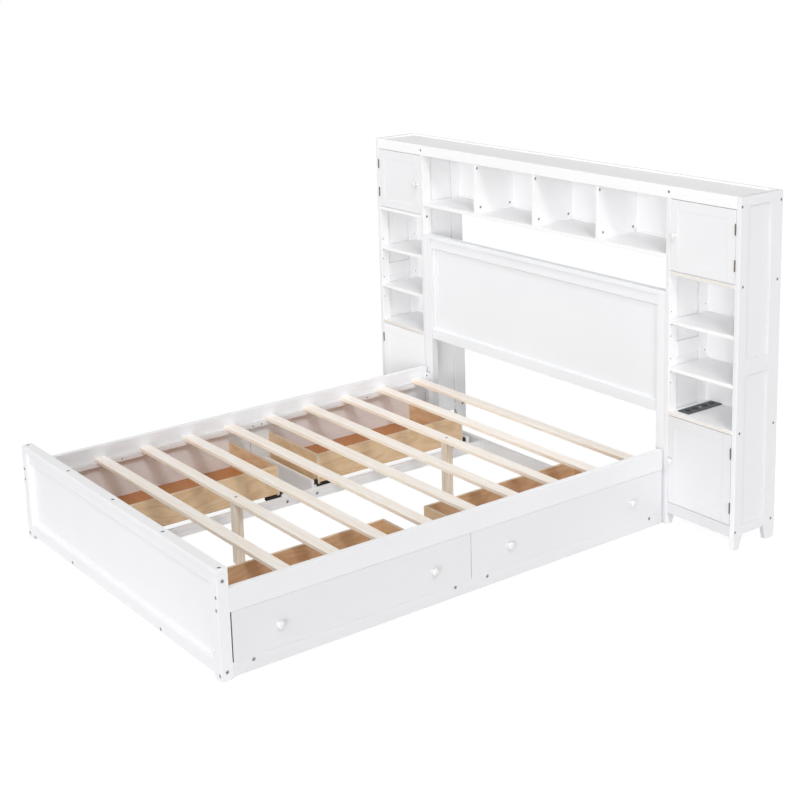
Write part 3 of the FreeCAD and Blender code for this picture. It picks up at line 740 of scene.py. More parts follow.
def ease(piece: Piece, width: float, segments: int = 2, angle: float = 40) -> Piece:
    """Round the sharp edges of a piece."""
    return modify(piece, "BEVEL", width=width, segments=segments, limit_method="ANGLE",
                  angle_limit=math.radians(angle))


def smooth(piece: Piece, angle: float = 35) -> Piece:
    """Shade a piece smooth except over its sharper edges.

    Args:
        piece: The piece.
        angle: The turn, in degrees, past which an edge stays sharp.

    Returns:
        The piece.
    """
    only(piece)
    bpy.ops.object.shade_smooth_by_angle(angle=math.radians(angle))
    return piece


def block(name: str, span: Span) -> Piece:
    """Start a board as a cube at its size and place."""
    return add(name, bpy.ops.mesh.primitive_cube_add, size=1, location=span.centre, scale=span.size)


def chamfer(piece: Piece, wanted: PointTest, width: float) -> Piece:
    """Bevel chosen edges by a width of their own.

    Args:
        piece: The board.
        wanted: Says whether a point lies on the chosen edges.
        width: How wide the bevel is.

    Returns:
        The board.
    """
    pick_edges(piece, wanted)
    bpy.ops.mesh.bevel(offset=width, segments=1, affect="EDGES")
    done()
    return piece


def scored(piece: Piece, axis: Axis, place: float) -> Piece:
    """Put an edge line round a board at one place along an axis.

    Args:
        piece: The board.
        axis: The axis that the line lies across.
        place: Where on that axis it lies.

    Returns:
        The board.
    """
    pick(piece, lambda face: True)
    line = [place if each is axis else 0 for each in Axis]
    way = [1 if each is axis else 0 for each in Axis]
    bpy.ops.mesh.bisect(plane_co=line, plane_no=way)
    done()
    return piece


def lathe(name: str, profile: Profile, segments: int) -> Piece:
    """Turn a round piece that stands on the origin and points up.

    Args:
        name: The name of the piece.
        profile: Radii and heights, from the foot to the tip, in metres.
        segments: How many sides the round has.

    Returns:
        The closed piece, shaped by extruding and resizing its last face.
    """
    radius, height = profile[0]
    piece = add(name, bpy.ops.mesh.primitive_circle_add, vertices=segments, radius=radius,
                fill_type="NGON", location=(0, 0, height))
    bpy.ops.object.mode_set(mode="EDIT")
    bpy.ops.mesh.select_mode(type="FACE")
    bpy.ops.mesh.select_all(action="SELECT")
    for next_radius, next_height in profile[1:]:
        rise = (0, 0, next_height - height)
        bpy.ops.mesh.extrude_region_move(TRANSFORM_OT_translate={"value": rise})
        share = next_radius / radius
        bpy.ops.transform.resize(value=(share, share, 1), center_override=(0, 0, next_height))
        radius, height = next_radius, next_height
    bpy.ops.mesh.select_all(action="SELECT")
    bpy.ops.mesh.normals_make_consistent(inside=False)
    done()
    return piece


def copied(piece: Piece, name: str, place: Vector, way: Vector) -> Piece:
    """Copy a piece with its own mesh, point it one way and set it down.

    Args:
        piece: The piece to copy, which stands on the origin and points up.
        name: The copy's name.
        place: Where the copy's foot goes.
        way: Where the copy points.

    Returns:
        The copy, with its place in its mesh.
    """
    only(piece)
    bpy.ops.object.duplicate(linked=False)
    copy = bpy.context.active_object
    copy.rotation_mode = "QUATERNION"
    copy.rotation_quaternion = UP.rotation_difference(way)
    copy.location = place
    return settle(copy, name)


def join(name: str, pieces: Sequence[Piece]) -> Piece:
    """Join pieces into one object.

    Args:
        name: The whole's name.
        pieces: The pieces.

    Returns:
        The whole.
    """
    only(*pieces)
    if len(pieces) > 1:
        bpy.ops.object.join()
    return named(bpy.context.active_object, name)


def carve(piece: Piece, tools: Sequence[Piece]) -> Piece:
    """Cut tools out of a piece and put the tools away.

    Args:
        piece: The piece.
        tools: The cutters.

    Returns:
        The piece.
    """
    for tool in tools:
        modify(piece, "BOOLEAN", operation="DIFFERENCE", object=tool, solver="EXACT",
               material_mode="TRANSFER")
    for tool in tools:
        discard(tool)
    return piece


def lathe_set(name: str, profile: Profile, segments: int, place: Vector, way: Vector) -> Piece:
    """Turn a round piece and set it at a place, pointing one way.

    Args:
        name: The piece's name.
        profile: Radii and heights, from the foot to the tip, in metres.
        segments: How many sides the round has.
        place: Where the piece's foot goes.
        way: Where the piece points.

    Returns:
        The piece, with its place in its mesh.
    """
    model = lathe(name + "_model", profile, segments)
    piece = copied(model, name, place, way)
    discard(model)
    return piece


def dress(piece: Piece, material: Material) -> Piece:
    """Give a whole piece one material.

    Args:
        piece: The piece.
        material: Its finish.

    Returns:
        The piece.
    """
    piece.data.materials.clear()
    piece.data.materials.append(material)
    return piece


def dress_faces(piece: Piece, material: Material, wanted: FaceTest) -> Piece:
    """Give the wanted faces of a piece a further material.

    Args:
        piece: The piece.
        material: The further finish.
        wanted: Says whether a face gets it.

    Returns:
        The piece.
    """
    piece.data.materials.append(material)
    slot = len(piece.data.materials) - 1
    for face in piece.data.polygons:
        if wanted(face):
            face.material_index = slot
    return piece


def seat(piece: Piece, node: str, body: str = ROOT) -> Piece:
    """Hand a finished piece over to the frame.

    Args:
        piece: The piece.
        node: The CAD node that it stands for.
        body: The CAD body that it rides on.

    Returns:
        The piece.
    """
    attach(piece, body)
    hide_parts(node)
    log.info("%s: %d faces on %s", piece.name, len(piece.data.polygons), body)
    return piece


def refine(node: str, name: str, edge: float, material: Material, body: str = ROOT) -> None:
    """Hand over a copy of a CAD node, with its triangles merged and its edges rounded.

    Args:
        node: The CAD node.
        name: The name of the copy.
        edge: How far its edges are rounded.
        material: Its finish.
        body: The CAD body that it rides on.
    """
    only(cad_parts[node])
    bpy.ops.object.duplicate(linked=False)
    piece = bpy.context.active_object
    piece.parent = None
    for key in list(piece.keys()):
        if key.startswith("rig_"):
            del piece[key]
    settle(piece, name)
    bpy.ops.object.mode_set(mode="EDIT")
    bpy.ops.mesh.select_all(action="SELECT")
    bpy.ops.mesh.remove_doubles(threshold=MERGE)
    bpy.ops.mesh.dissolve_limited(angle_limit=math.radians(SAME_PLANE))
    done()
    ease(piece, edge, angle=50)
    smooth(piece, angle=40)
    seat(dress(piece, material), node, body)


def every(name: str, node: str, make: Callable[[Span], Piece]) -> Piece:
    """Make a piece from each solid of a node, and hand them over as one.

    Args:
        name: The name of the whole piece.
        node: The CAD node.
        make: Makes the finished piece for one solid.

    Returns:
        The whole piece.
    """
    return seat(join(name, [make(span) for span in solids_of(node)]), node)


# Fasteners


@dataclass(frozen=True)
class Bolt:
    """A bolt or screw of the CAD model: where its head's face is, where it points and how long it is."""

    place: Vector
    way: Vector
    length: float
    span: Span


@dataclass
class Fasteners:
    """Bolts with hexagon sockets, cam locks and shelf pins, and the seats that they need in the boards."""

    palette: Palette
    head_radius: float = 5.8 * MM
    bed_head_radius: float = 6.9 * MM
    head_depth: float = 2.7 * MM
    shank_radius: float = 3 * MM
    head_ease: float = 0.6 * MM
    socket_radius: float = 2.6 * MM
    socket_depth: float = 1.6 * MM
    tip_taper: float = 0.8 * MM
    seat_air: float = 0.2 * MM
    seat_flare: float = 0.6 * MM
    seat_depth: float = 3.1 * MM
    seat_lead: float = 0.3 * MM
    seat_end: float = 0.5 * MM
    segments: int = 24
    tower_front: float = 900 * MM
    cam_radius: float = 6 * MM
    cam_air: float = 0.2 * MM
    cam_slot: float = 1.6 * MM
    cam_slot_depth: float = 2.5 * MM
    cam_slot_share: float = 1.4
    cam_fit: float = 0.1 * MM
    cam_ease: float = 0.5 * MM
    pin_ease: float = 0.4 * MM

    def __post_init__(self) -> None:
        """Read the bolts and the cam locks from the CAD model."""
        self.bolts = [self.read(span) for span in solids_of("bolts")]
        self.cams = solids_of("cam_locks")

    def read(self, span: Span) -> Bolt:
        """Find the head, the way and the length of one bolt.

        Args:
            span: The bolt's solid.

        Returns:
            The bolt.
        """
        axis = span.longest().value
        across = [i for i in range(3) if i != axis]
        off = span.points - np.array(span.centre)
        wide = span.points[np.hypot(off[:, across[0]], off[:, across[1]]) > self.shank_radius + 1 * MM]
        at_low = wide[:, axis].mean() < span.centre[axis]
        way = Vector((0, 0, 0))
        way[axis] = 1 if at_low else -1
        place = span.centre.copy()
        place[axis] = span.low[axis] if at_low else span.high[axis]
        return Bolt(place, way, span.size[axis], span)

    def radius_of(self, bolt: Bolt) -> float:
        """Give the radius of a bolt's head, which is larger on the bed than on the towers."""
        return self.head_radius if bolt.place.y > self.tower_front else self.bed_head_radius

    def seats_for(self, span: Span) -> list[Piece]:
        """Make the cutters for the bolts that sit in one board.

        Args:
            span: The board's solid.

        Returns:
            One cutter for each bolt.
        """
        tools = []
        for bolt in self.bolts:
            if not bolt.span.meets(span):
                continue
            inner = self.shank_radius + self.seat_air
            outer = self.radius_of(bolt) + self.seat_air
            flared = outer + self.seat_flare
            profile = [(flared, -MM), (flared, -self.seat_lead), (outer, self.seat_flare),
                       (outer, self.seat_depth), (inner, self.seat_depth),
                       (inner, bolt.length + self.seat_end)]
            tools.append(lathe_set("seat_tool", profile, self.segments, bolt.place, bolt.way))
        return tools

    def head(self, length: float, radius: float) -> Piece:
        """Model a bolt, its head's face at the origin and its shank upwards.

        Args:
            length: How long the bolt is.
            radius: The radius of its head.

        Returns:
            The bolt.
        """
        eased, shank = self.head_ease, self.shank_radius
        profile = [(radius - eased, 0), (radius, eased), (radius, self.head_depth),
                   (shank, self.head_depth), (shank, length - MM), (shank - self.tip_taper, length)]
        piece = lathe("bolt_model", profile, self.segments)
        carve(piece, [add("hexagon_tool", bpy.ops.mesh.primitive_cylinder_add, vertices=6,
                          radius=self.socket_radius, depth=2 * self.socket_depth)])
        dress(piece, self.palette.steel)
        points = piece.data.vertices
        inside = self.socket_radius + MERGE
        # The faces inside the hexagon socket get darker steel: painted shade in the recess.
        dress_faces(piece, self.palette.socket, lambda face: all(
            math.hypot(*points[i].co.xy) < inside and points[i].co.z < self.socket_depth + MM
            for i in face.vertices))
        return smooth(piece)

    def cam_lock(self, cam: Span) -> Piece:
        """Model a cam lock with a crossed slot, and set it in its divider.

        Args:
            cam: The cam lock's solid.

        Returns:
            The cam lock.
        """
        radius, ease_end = self.cam_radius - self.cam_fit, self.cam_radius - self.cam_ease
        piece = lathe("cam_model", [(ease_end, 0), (radius, self.cam_ease), (radius, cam.size.x)],
                      self.segments)
        length, depth = self.cam_slot_share * self.cam_radius, 2 * self.cam_slot_depth
        carve(piece, [add("slot_tool", bpy.ops.mesh.primitive_cube_add, size=1, scale=scale)
                      for scale in ((self.cam_slot, length, depth), (length, self.cam_slot, depth))])
        placed = copied(piece, "cam_lock", self.cam_face(cam), Vector((-1, 0, 0)))
        discard(piece)
        return dress(placed, self.palette.steel)

    def cam_face(self, cam: Span) -> Vector:
        """Give the middle of a cam lock's visible face."""
        return Vector((cam.high.x, cam.centre.y, cam.centre.z))

    def cam_tool(self, cam: Span) -> Piece:
        """Make the cutter for the bore in which a cam lock sits.

        Args:
            cam: The cam lock's solid.

        Returns:
            The cutter.
        """
        radius = self.cam_radius + self.cam_air
        profile = [(radius, -MM), (radius, cam.size.x + self.seat_end)]
        return lathe_set("cam_tool", profile, self.segments, self.cam_face(cam), Vector((-1, 0, 0)))

    def build(self) -> None:
        """Set all the bolts, cam locks and shelf pins."""
        models: dict[tuple[float, float], Piece] = {}
        pieces = []
        for number, bolt in enumerate(self.bolts):
            key = (round(bolt.length, 4), self.radius_of(bolt))
            if key not in models:
                models[key] = self.head(bolt.length, key[1])
            pieces.append(copied(models[key], "bolt_%d" % number, bolt.place, bolt.way))
        for model in models.values():
            discard(model)
        seat(join("socket_bolts", pieces), "bolts")
        cams = [self.cam_lock(cam) for cam in self.cams]
        seat(smooth(join("slotted_cam_locks", cams)), "cam_locks")
        refine("shelf_pins", "steel_shelf_pins", self.pin_ease, self.palette.steel)


@dataclass
class Joiner:
    """Makes boards from the CAD solids and bores them for their fasteners."""

    fasteners: Fasteners
    edge: float = 1.5 * MM

    def board(self, name: str, span: Span, edge: float | None = None, bored: bool = True,
              shape: Callable[[Piece], Piece] | None = None) -> Piece:
        """Make one board.

        Args:
            name: The board's name.
            span: The solid that it stands for.
            edge: How far its edges are rounded, or None for the usual amount.
            bored: Whether bolt seats are cut.
            shape: Further shaping before the edges are rounded.

        Returns:
            The board, not yet dressed.
        """
        piece = block(name, span)
        if shape:
            shape(piece)
        ease(piece, self.edge if edge is None else edge)
        if bored:
            carve(piece, self.fasteners.seats_for(span))
        return piece

    def boards(self, name: str, node: str, material: Material, slot: str = "white_board",
               edge: float | None = None) -> Piece:
        """Make every board of a node, dress them alike and hand them over as one piece."""
        return every(name, node, lambda span: dress(self.board(name, span, edge), material))


def near(value: float, target: float) -> bool:
    """Whether two places count as the same."""
    return abs(value - target) < SAME_PLACE


def faces_up(face: Face) -> bool:
    """Whether a face looks up."""
    return face.normal.z > SQUARE


def faces_aside(face: Face) -> bool:
    """Whether a face looks at least a little to the left or to the right."""
    return abs(face.normal.x) > PARTLY


def chamfer_front(span: Span, top: bool, width: float) -> Callable[[Piece], Piece]:
    """Name the shaping of a rail whose long front edge is bevelled, at its top or at its bottom."""
    height = span.high.z if top else span.low.z
    return lambda piece: chamfer(piece, lambda p: near(p.y, span.low.y) and near(p.z, height), width)


# Sub-assemblies


@dataclass
class Assembly:
    """A sub-assembly, with the finishes and the joiner that it is made with."""

    palette: Palette
    joiner: Joiner


@dataclass
class Footboard(Assembly):
    """Two posts, a cap, two rails and a recessed panel at the foot."""

    chamfer_width: float = 7 * MM
    fine_chamfer: float = 3.5 * MM
    rail_setback: float = 8 * MM
    cap_ease: float = 2.5 * MM

    def build(self) -> None:
        """Make the footboard."""
        # The footboard takes a darker copy of the paint: painted shade.
        self.joiner.boards("footboard_corner_posts", "footboard_posts", self.palette.paint_footboard_painted_shade)
        low, whole = sorted(solids_of("footboard_rails"), key=lambda s: s.centre.z)
        post_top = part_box("footboard_posts")[1].z
        cap = Span(Vector((whole.low.x, whole.low.y, post_top)), whole.high)
        top = Span(Vector((low.low.x, whole.low.y + self.rail_setback, whole.low.z)),
                   Vector((low.high.x, whole.high.y, post_top)))
        board = self.joiner.board
        rails = [board("foot_rail_low", low, shape=chamfer_front(low, True, self.chamfer_width)),
                 board("foot_rail_top", top, shape=chamfer_front(top, False, self.fine_chamfer)),
                 board("foot_cap", cap, self.cap_ease)]
        for made in rails:
            dress(made, self.palette.paint_footboard_painted_shade)
            # The tops of the cap and rails take the brighter copy of the paint: painted light.
            dress_faces(made, self.palette.paint_painted_light, faces_up)
        seat(join("footboard_cap_and_rails", rails), "footboard_rails")
        self.joiner.boards("footboard_field_panel", "footboard_panel", self.palette.paint_footboard_painted_shade,
                           edge=PANEL_EASE)


@dataclass
class Headboard(Assembly):
    """Two posts, a cap, two rails, two inner strips and a recessed panel between the towers."""

    chamfer_width: float = 5 * MM
    cap_ease: float = 2.5 * MM

    def rail(self, span: Span) -> Piece:
        """Make the cap, one of the two rails or one of the upright strips beside the panel.

        Args:
            span: The board's solid.

        Returns:
            The board.
        """
        low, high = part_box("headboard_rails")
        if span.longest() is Axis.Z:
            made = self.joiner.board("head_strip", span)
        elif near(span.high.z, high.z):
            made = self.joiner.board("head_cap", span, self.cap_ease)
        else:
            shape = chamfer_front(span, near(span.low.z, low.z), self.chamfer_width)
            made = self.joiner.board("head_rail", span, shape=shape)
        # A brighter copy of the paint, painted light; the narrow sides take a darker one, painted shade.
        dress(made, self.palette.paint_headboard_painted_light)
        return dress_faces(made, self.palette.paint_grey_painted_shade, faces_aside)

    def build(self) -> None:
        """Make the headboard in a brighter copy of the paint, painted light, its frame's narrow sides a
        little greyer as painted shade.
        """
        posts = self.joiner.boards("headboard_corner_posts", "headboard_posts", self.palette.paint_headboard_painted_light)
        dress_faces(posts, self.palette.paint_grey_painted_shade, faces_aside)
        every("headboard_cap_and_rails", "headboard_rails", self.rail)
        self.joiner.boards("headboard_field_panel", "headboard_panel", self.palette.paint_headboard_painted_light,
                           edge=PANEL_EASE)


@dataclass
class BedBase(Assembly):
    """Side rails, battens, slats, middle legs, base boards and the boards that guide the drawers."""

    rail_ease: float = 1 * MM
    slat_ease: float = 2.5 * MM
    leg_ease: float = 2 * MM
    ledge_top: float = 58.5 * MM
    ledge_width: float = 12 * MM
    low_rail_top: float = 150 * MM
    screw_radius: float = 3.2 * MM
    screw_stands_out: float = 0.3 * MM
    screw_depth: float = 2 * MM
    screw_segments: int = 16
    screw_places: tuple[float, ...] = (-742 * MM, -95 * MM, -48 * MM, 538 * MM)

    def rail(self, span: Span) -> Piece:
        """Make a side rail in a darker copy of the paint, painted shade, its top brighter as painted light,
        and its inner face painted thinly, brighter and bluer, as painted light.

        Args:
            span: The rail's solid.

        Returns:
            The rail.
        """
        # Darker copies of the paint for the upper and the lower rails: painted shade.
        paint = self.palette.paint_grey_painted_shade if span.high.z < self.low_rail_top else self.palette.paint_sides_painted_shade
        made = dress(self.joiner.board("side_rail", span, self.rail_ease), paint)
        # The top takes the brighter copy of the paint: painted light.
        dress_faces(made, self.palette.paint_painted_light, faces_up)
        inward = -math.copysign(1, span.centre.x)
        # The inner face takes thin primer made brighter and bluer: painted light.
        return dress_faces(made, self.palette.inner_coat_painted_light, lambda face: face.normal.x * inward > SQUARE)

    def slat(self, span: Span) -> Piece:
        """Make a slat, planed on its faces and sawn on its edges."""
        made = dress(self.joiner.board("slat", span, self.slat_ease), self.palette.pine_face)
        return dress_faces(made, self.palette.pine_side, lambda face: abs(face.normal.y) > NEARLY)

    def guide(self, span: Span, lines: Sequence[float]) -> Piece:
        """Make a cross board with a rebate in which the drawers' rollers run.

        Args:
            span: The board's solid.
            lines: The places of all such boards along the bed, whose rebates face each other in pairs.

        Returns:
            The board.
        """
        ledge_high = lines.index(round(span.centre.y, 3)) % 2 == 0
        line = span.high.y - self.ledge_width if ledge_high else span.low.y + self.ledge_width
        low = Span(span.low, Vector((span.high.x, span.high.y, self.ledge_top)))
        made = scored(block("guide", low), Axis.Y, line)
        pick(made, lambda face: faces_up(face) and (face.center.y < line) == ledge_high)
        rise = (0, 0, span.high.z - self.ledge_top)
        bpy.ops.mesh.extrude_region_move(TRANSFORM_OT_translate={"value": rise})
        done()
        ease(made, self.rail_ease)
        carve(made, self.joiner.fasteners.seats_for(span))
        return dress(made, self.palette.coat[Axis.X])

    def cleat_screws(self, span: Span) -> list[Piece]:
        """Set the small screw heads that show on the inner face of a cleat.

        Args:
            span: The cleat's solid.

        Returns:
            The screw heads.
        """
        outward = math.copysign(1, span.centre.x)
        face = span.low.x if outward > 0 else span.high.x
        profile = [(self.screw_radius, -self.screw_stands_out), (self.screw_radius, self.screw_depth)]
        heads = [lathe_set("cleat_screw", profile, self.screw_segments, Vector((face, y, span.centre.z)),
                           Vector((outward, 0, 0))) for y in self.screw_places]
        return [dress(head, self.palette.socket) for head in heads]

    def cleat(self, span: Span) -> Piece:
        """Make a cleat with its screws, or one of the short uprights at the head end.

        Args:
            span: The cleat's or the upright's solid.

        Returns:
            The cleat or the upright.
        """
        # The cleat's primer is brighter and bluer than the paint, painted light; its top is greyer, painted
        # shade.
        made = dress(self.joiner.board("cleat", span, self.rail_ease), self.palette.inner_coat_painted_light)
        dress_faces(made, self.palette.cleat_top_painted_shade, faces_up)
        return join("cleat", [made, *(self.cleat_screws(span) if span.longest() is Axis.Y else [])])

    def build(self) -> None:
        """Make the bed base."""
        every("bed_side_rails", "side_rails", self.rail)
        every("pine_slats", "slats", self.slat)
        self.joiner.boards("pine_middle_legs", "centre_legs", self.palette.pine_leg, "pale_pine",
                           self.leg_ease)
        lines = sorted({round(span.centre.y, 3) for span in solids_of("drawer_guides")})
        every("rebated_drawer_guides", "drawer_guides", lambda span: self.guide(span, lines))
        every("rail_cleats_and_uprights", "rail_battens", self.cleat)
        self.joiner.boards("base_boards", "base_frame_boards", self.palette.coat[Axis.Y])


@dataclass
class Towers(Assembly):
    """The two cupboard towers: side frames, shelves, kick rails and backs."""

    front_foot: tuple[float, float] = (18 * MM, 54 * MM)
    rear_foot: tuple[float, float] = (16 * MM, 73 * MM)
    pin_pitch: float = 50 * MM
    pin_hole_radius: float = 2.6 * MM
    pin_hole_depth: float = 9 * MM
    pin_hole_segments: int = 16
    shelf_line: float = 800 * MM

    def __post_init__(self) -> None:
        """Find how far a tower's middle is from the middle of the bed."""
        self.middle = sum(abs(span.centre.x) for span in solids_of("tower_kick_rails")) / 2

    def pin_holes(self, span: Span) -> list[Piece]:
        """Make one cutter for the row of shelf pin holes in a stile.

        Args:
            span: The stile.

        Returns:
            The cutter, a joined row of short rods, or nothing for a stile without pins.
        """
        rods = []
        for pin in solids_of("shelf_pins"):
            if not pin.meets(span):
                continue
            inward = 1 if pin.centre.x > span.centre.x else -1
            face = span.high.x if inward > 0 else span.low.x
            for step in (-self.pin_pitch, self.pin_pitch):
                rods.append(add("pin_hole_tool", bpy.ops.mesh.primitive_cylinder_add,
                                vertices=self.pin_hole_segments, radius=self.pin_hole_radius,
                                depth=2 * self.pin_hole_depth,
                                location=(face, pin.centre.y, pin.centre.z + step),
                                rotation=(0, math.pi / 2, 0)))
        return [dress(join("pin_hole_row", rods), self.palette.bare_end_and_gap_shade)] if rods else []

    def outer(self, face: Face) -> bool:
        """Tell whether a face is on the outer side of a tower."""
        away = abs(face.center.x) > self.middle and face.normal.x * face.center.x > 0
        return away and abs(face.normal.x) > MOSTLY

    def sheltered(self, face: Face) -> bool:
        """Tell whether a face of the side frames looks into a tower or towards the bed."""
        return abs(face.normal.x) > MOSTLY and not self.outer(face)

    def stile(self, span: Span) -> Piece:
        """Make a stile with its cut-back foot and the notches for the boards at the top.

        Args:
            span: The stile's solid.

        Returns:
            The stile.
        """
        aprons = solids_of("top_frame")
        middle = sum(apron.centre.y for apron in aprons) / len(aprons)
        front = span.centre.y < middle
        cut, height = self.front_foot if front else self.rear_foot
        inner_line = span.high.y if front else span.low.y
        made = scored(block("stile", span), Axis.Z, height)
        pick_edges(made, lambda p: near(p.z, 0) and near(p.y, inner_line))
        bpy.ops.transform.translate(value=(0, -cut if front else cut, 0))
        done()
        met = [apron for apron in aprons
               if (apron.centre.y < middle) == front and abs(span.centre.x) < apron.high.x]
        carve(made, [block("notch_tool", apron.grown((MM, MM, 0), (MM, MM, MM))) for apron in met])
        ease(made, self.joiner.edge)
        carve(made, self.joiner.fasteners.seats_for(span))
        dress(made, self.palette.paint)
        # The rear stiles' forward faces take the darkest copy of the paint, painted shade; faces into the
        # tower or towards the bed take the brighter copy, painted light; the outer faces a darker copy,
        # painted shade.
        if not front:
            dress_faces(made, self.palette.paint_darkest_painted_shade, lambda face: face.normal.y < -PARTLY)
        dress_faces(made, self.palette.paint_painted_light, self.sheltered)
        dress_faces(made, self.palette.paint_sides_painted_shade, self.outer)
        return carve(made, self.pin_holes(span))

    def fixed_shelf(self, span: Span) -> Piece:
        """Make a fixed shelf, thinly painted on its front edge where the photo shows that.

        Args:
            span: The shelf's solid.

        Returns:
            The shelf.
        """
        # The shelf is in the brighter copy of the paint: painted light.
        made = dress(self.joiner.board("shelf", span), self.palette.paint_painted_light)
        if span.centre.x > 0 or span.high.z < self.shelf_line:
            dress_faces(made, self.palette.shelf_edge, lambda face: face.normal.y < -SQUARE)
        return made

    def build(self) -> None:
        """Make both towers."""
        every("tower_frame_stiles", "tower_stiles", self.stile)
        every("fixed_shelves", "tower_fixed_shelves", self.fixed_shelf)
        # Shelves and backs take the brighter copy of the paint, painted light; the side frames a darker
        # copy, painted shade, brighter again where they look into the tower or towards the bed, painted
        # light; the kicks the darkest copy, painted shade.
        self.joiner.boards("loose_shelves", "tower_adjustable_shelves", self.palette.paint_painted_light)
        paint = self.palette.paint_sides_painted_shade
        rails = self.joiner.boards("tower_frame_rails", "tower_side_rails", paint)
        panels = self.joiner.boards("tower_frame_panels", "tower_side_panels", paint, edge=PANEL_EASE)
        for frame_part in (rails, panels):
            dress_faces(frame_part, self.palette.paint_painted_light, self.sheltered)
        self.joiner.boards("kick_boards", "tower_kick_rails", self.palette.paint_darkest_painted_shade)
        self.joiner.boards("thin_back_panels", "back_panels", self.palette.paint_painted_light, edge=PANEL_EASE)


@dataclass
class Bridge(Assembly):
    """The row of open compartments over the headboard, and the top of the whole unit."""

    batten_depth: float = 18 * MM
    board_height: float = 18 * MM
    batten_ease: float = 2 * MM
    divider_ease: float = 1 * MM

    def divider(self, span: Span, keep_out: Sequence[Span]) -> Piece:
        """Make an upright board between two compartments, notched round the boards that it meets.

        Args:
            span: The divider's solid.
            keep_out: The boards that it meets.

        Returns:
            The divider.
        """
        made = block("divider", span)
        carve(made, [block("notch_tool", other.grown((0, MM, MM), (0, MM, MM))) for other in keep_out])
        ease(made, self.divider_ease)
        fasteners = self.joiner.fasteners
        carve(made, [fasteners.cam_tool(cam) for cam in fasteners.cams if cam.meets(span)])
        # The divider is in the brighter copy of the paint: painted light.
        return dress(made, self.palette.paint_painted_light)

    def build(self) -> None:
        """Make the bridge and the top."""
        # The top, its aprons, the bridge floor and batten are in the brighter copy of the paint: painted
        # light.
        self.joiner.boards("top_aprons", "top_frame", self.palette.paint_painted_light, edge=self.batten_ease)
        self.joiner.boards("recessed_top", "top_panel", self.palette.paint_painted_light, edge=PANEL_EASE)
        low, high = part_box("bridge_shelf")
        split = high.y - self.batten_depth
        shelf = Span(low, Vector((high.x, split, low.z + self.board_height)))
        batten = Span(Vector((low.x, split, low.z)), high)
        pieces = [self.joiner.board("bridge_floor", shelf),
                  self.joiner.board("bridge_batten", batten, self.batten_ease)]
        floor = dress(join("bridge_floor_and_batten", pieces), self.palette.paint_painted_light)
        seat(floor, "bridge_shelf")
        keep_out = solids_of("top_frame") + [batten]
        every("bridge_divider_boards", "bridge_dividers", lambda span: self.divider(span, keep_out))


@dataclass
class Knob:
    """A turned wooden knob, 28 mm across, under gloss lacquer.

    Its profile is a row of radii and heights in millimetres, from the foot to the tip.
    """

    palette: Palette
    profile: tuple[tuple[float, float], ...] = (
        (5.6, 0), (5.3, 1.0), (5.2, 2.4), (5.2, 5.0), (5.5, 8.0), (7.2, 10.8), (10.2, 13.4),
        (12.8, 15.6), (13.8, 17.8), (14.0, 19.4), (13.6, 21.4), (12.4, 23.0), (9.8, 24.2), (6.0, 24.8),
        (2.0, 25.0))
    segments: int = 40
    smooth_below: float = 60

    def model(self) -> Piece:
        """Turn one knob that stands on the origin."""
        piece = lathe("knob_model", [(r * MM, h * MM) for r, h in self.profile], self.segments)
        return smooth(dress(piece, self.palette.knob), self.smooth_below)

    def set_on(self, node: str, name: str, way: Vector, body: str) -> None:
        """Set a knob for each solid of a node.

        Args:
            node: The CAD node of the knobs.
            name: The name of the new piece.
            way: Where the knobs point.
            body: The body that they ride on.
        """
        model = self.model()
        pieces = [copied(model, name, span.centre - way * (abs(span.size.dot(way)) / 2), way)
                  for span in solids_of(node)]
        discard(model)
        seat(join(name, pieces), node, body)


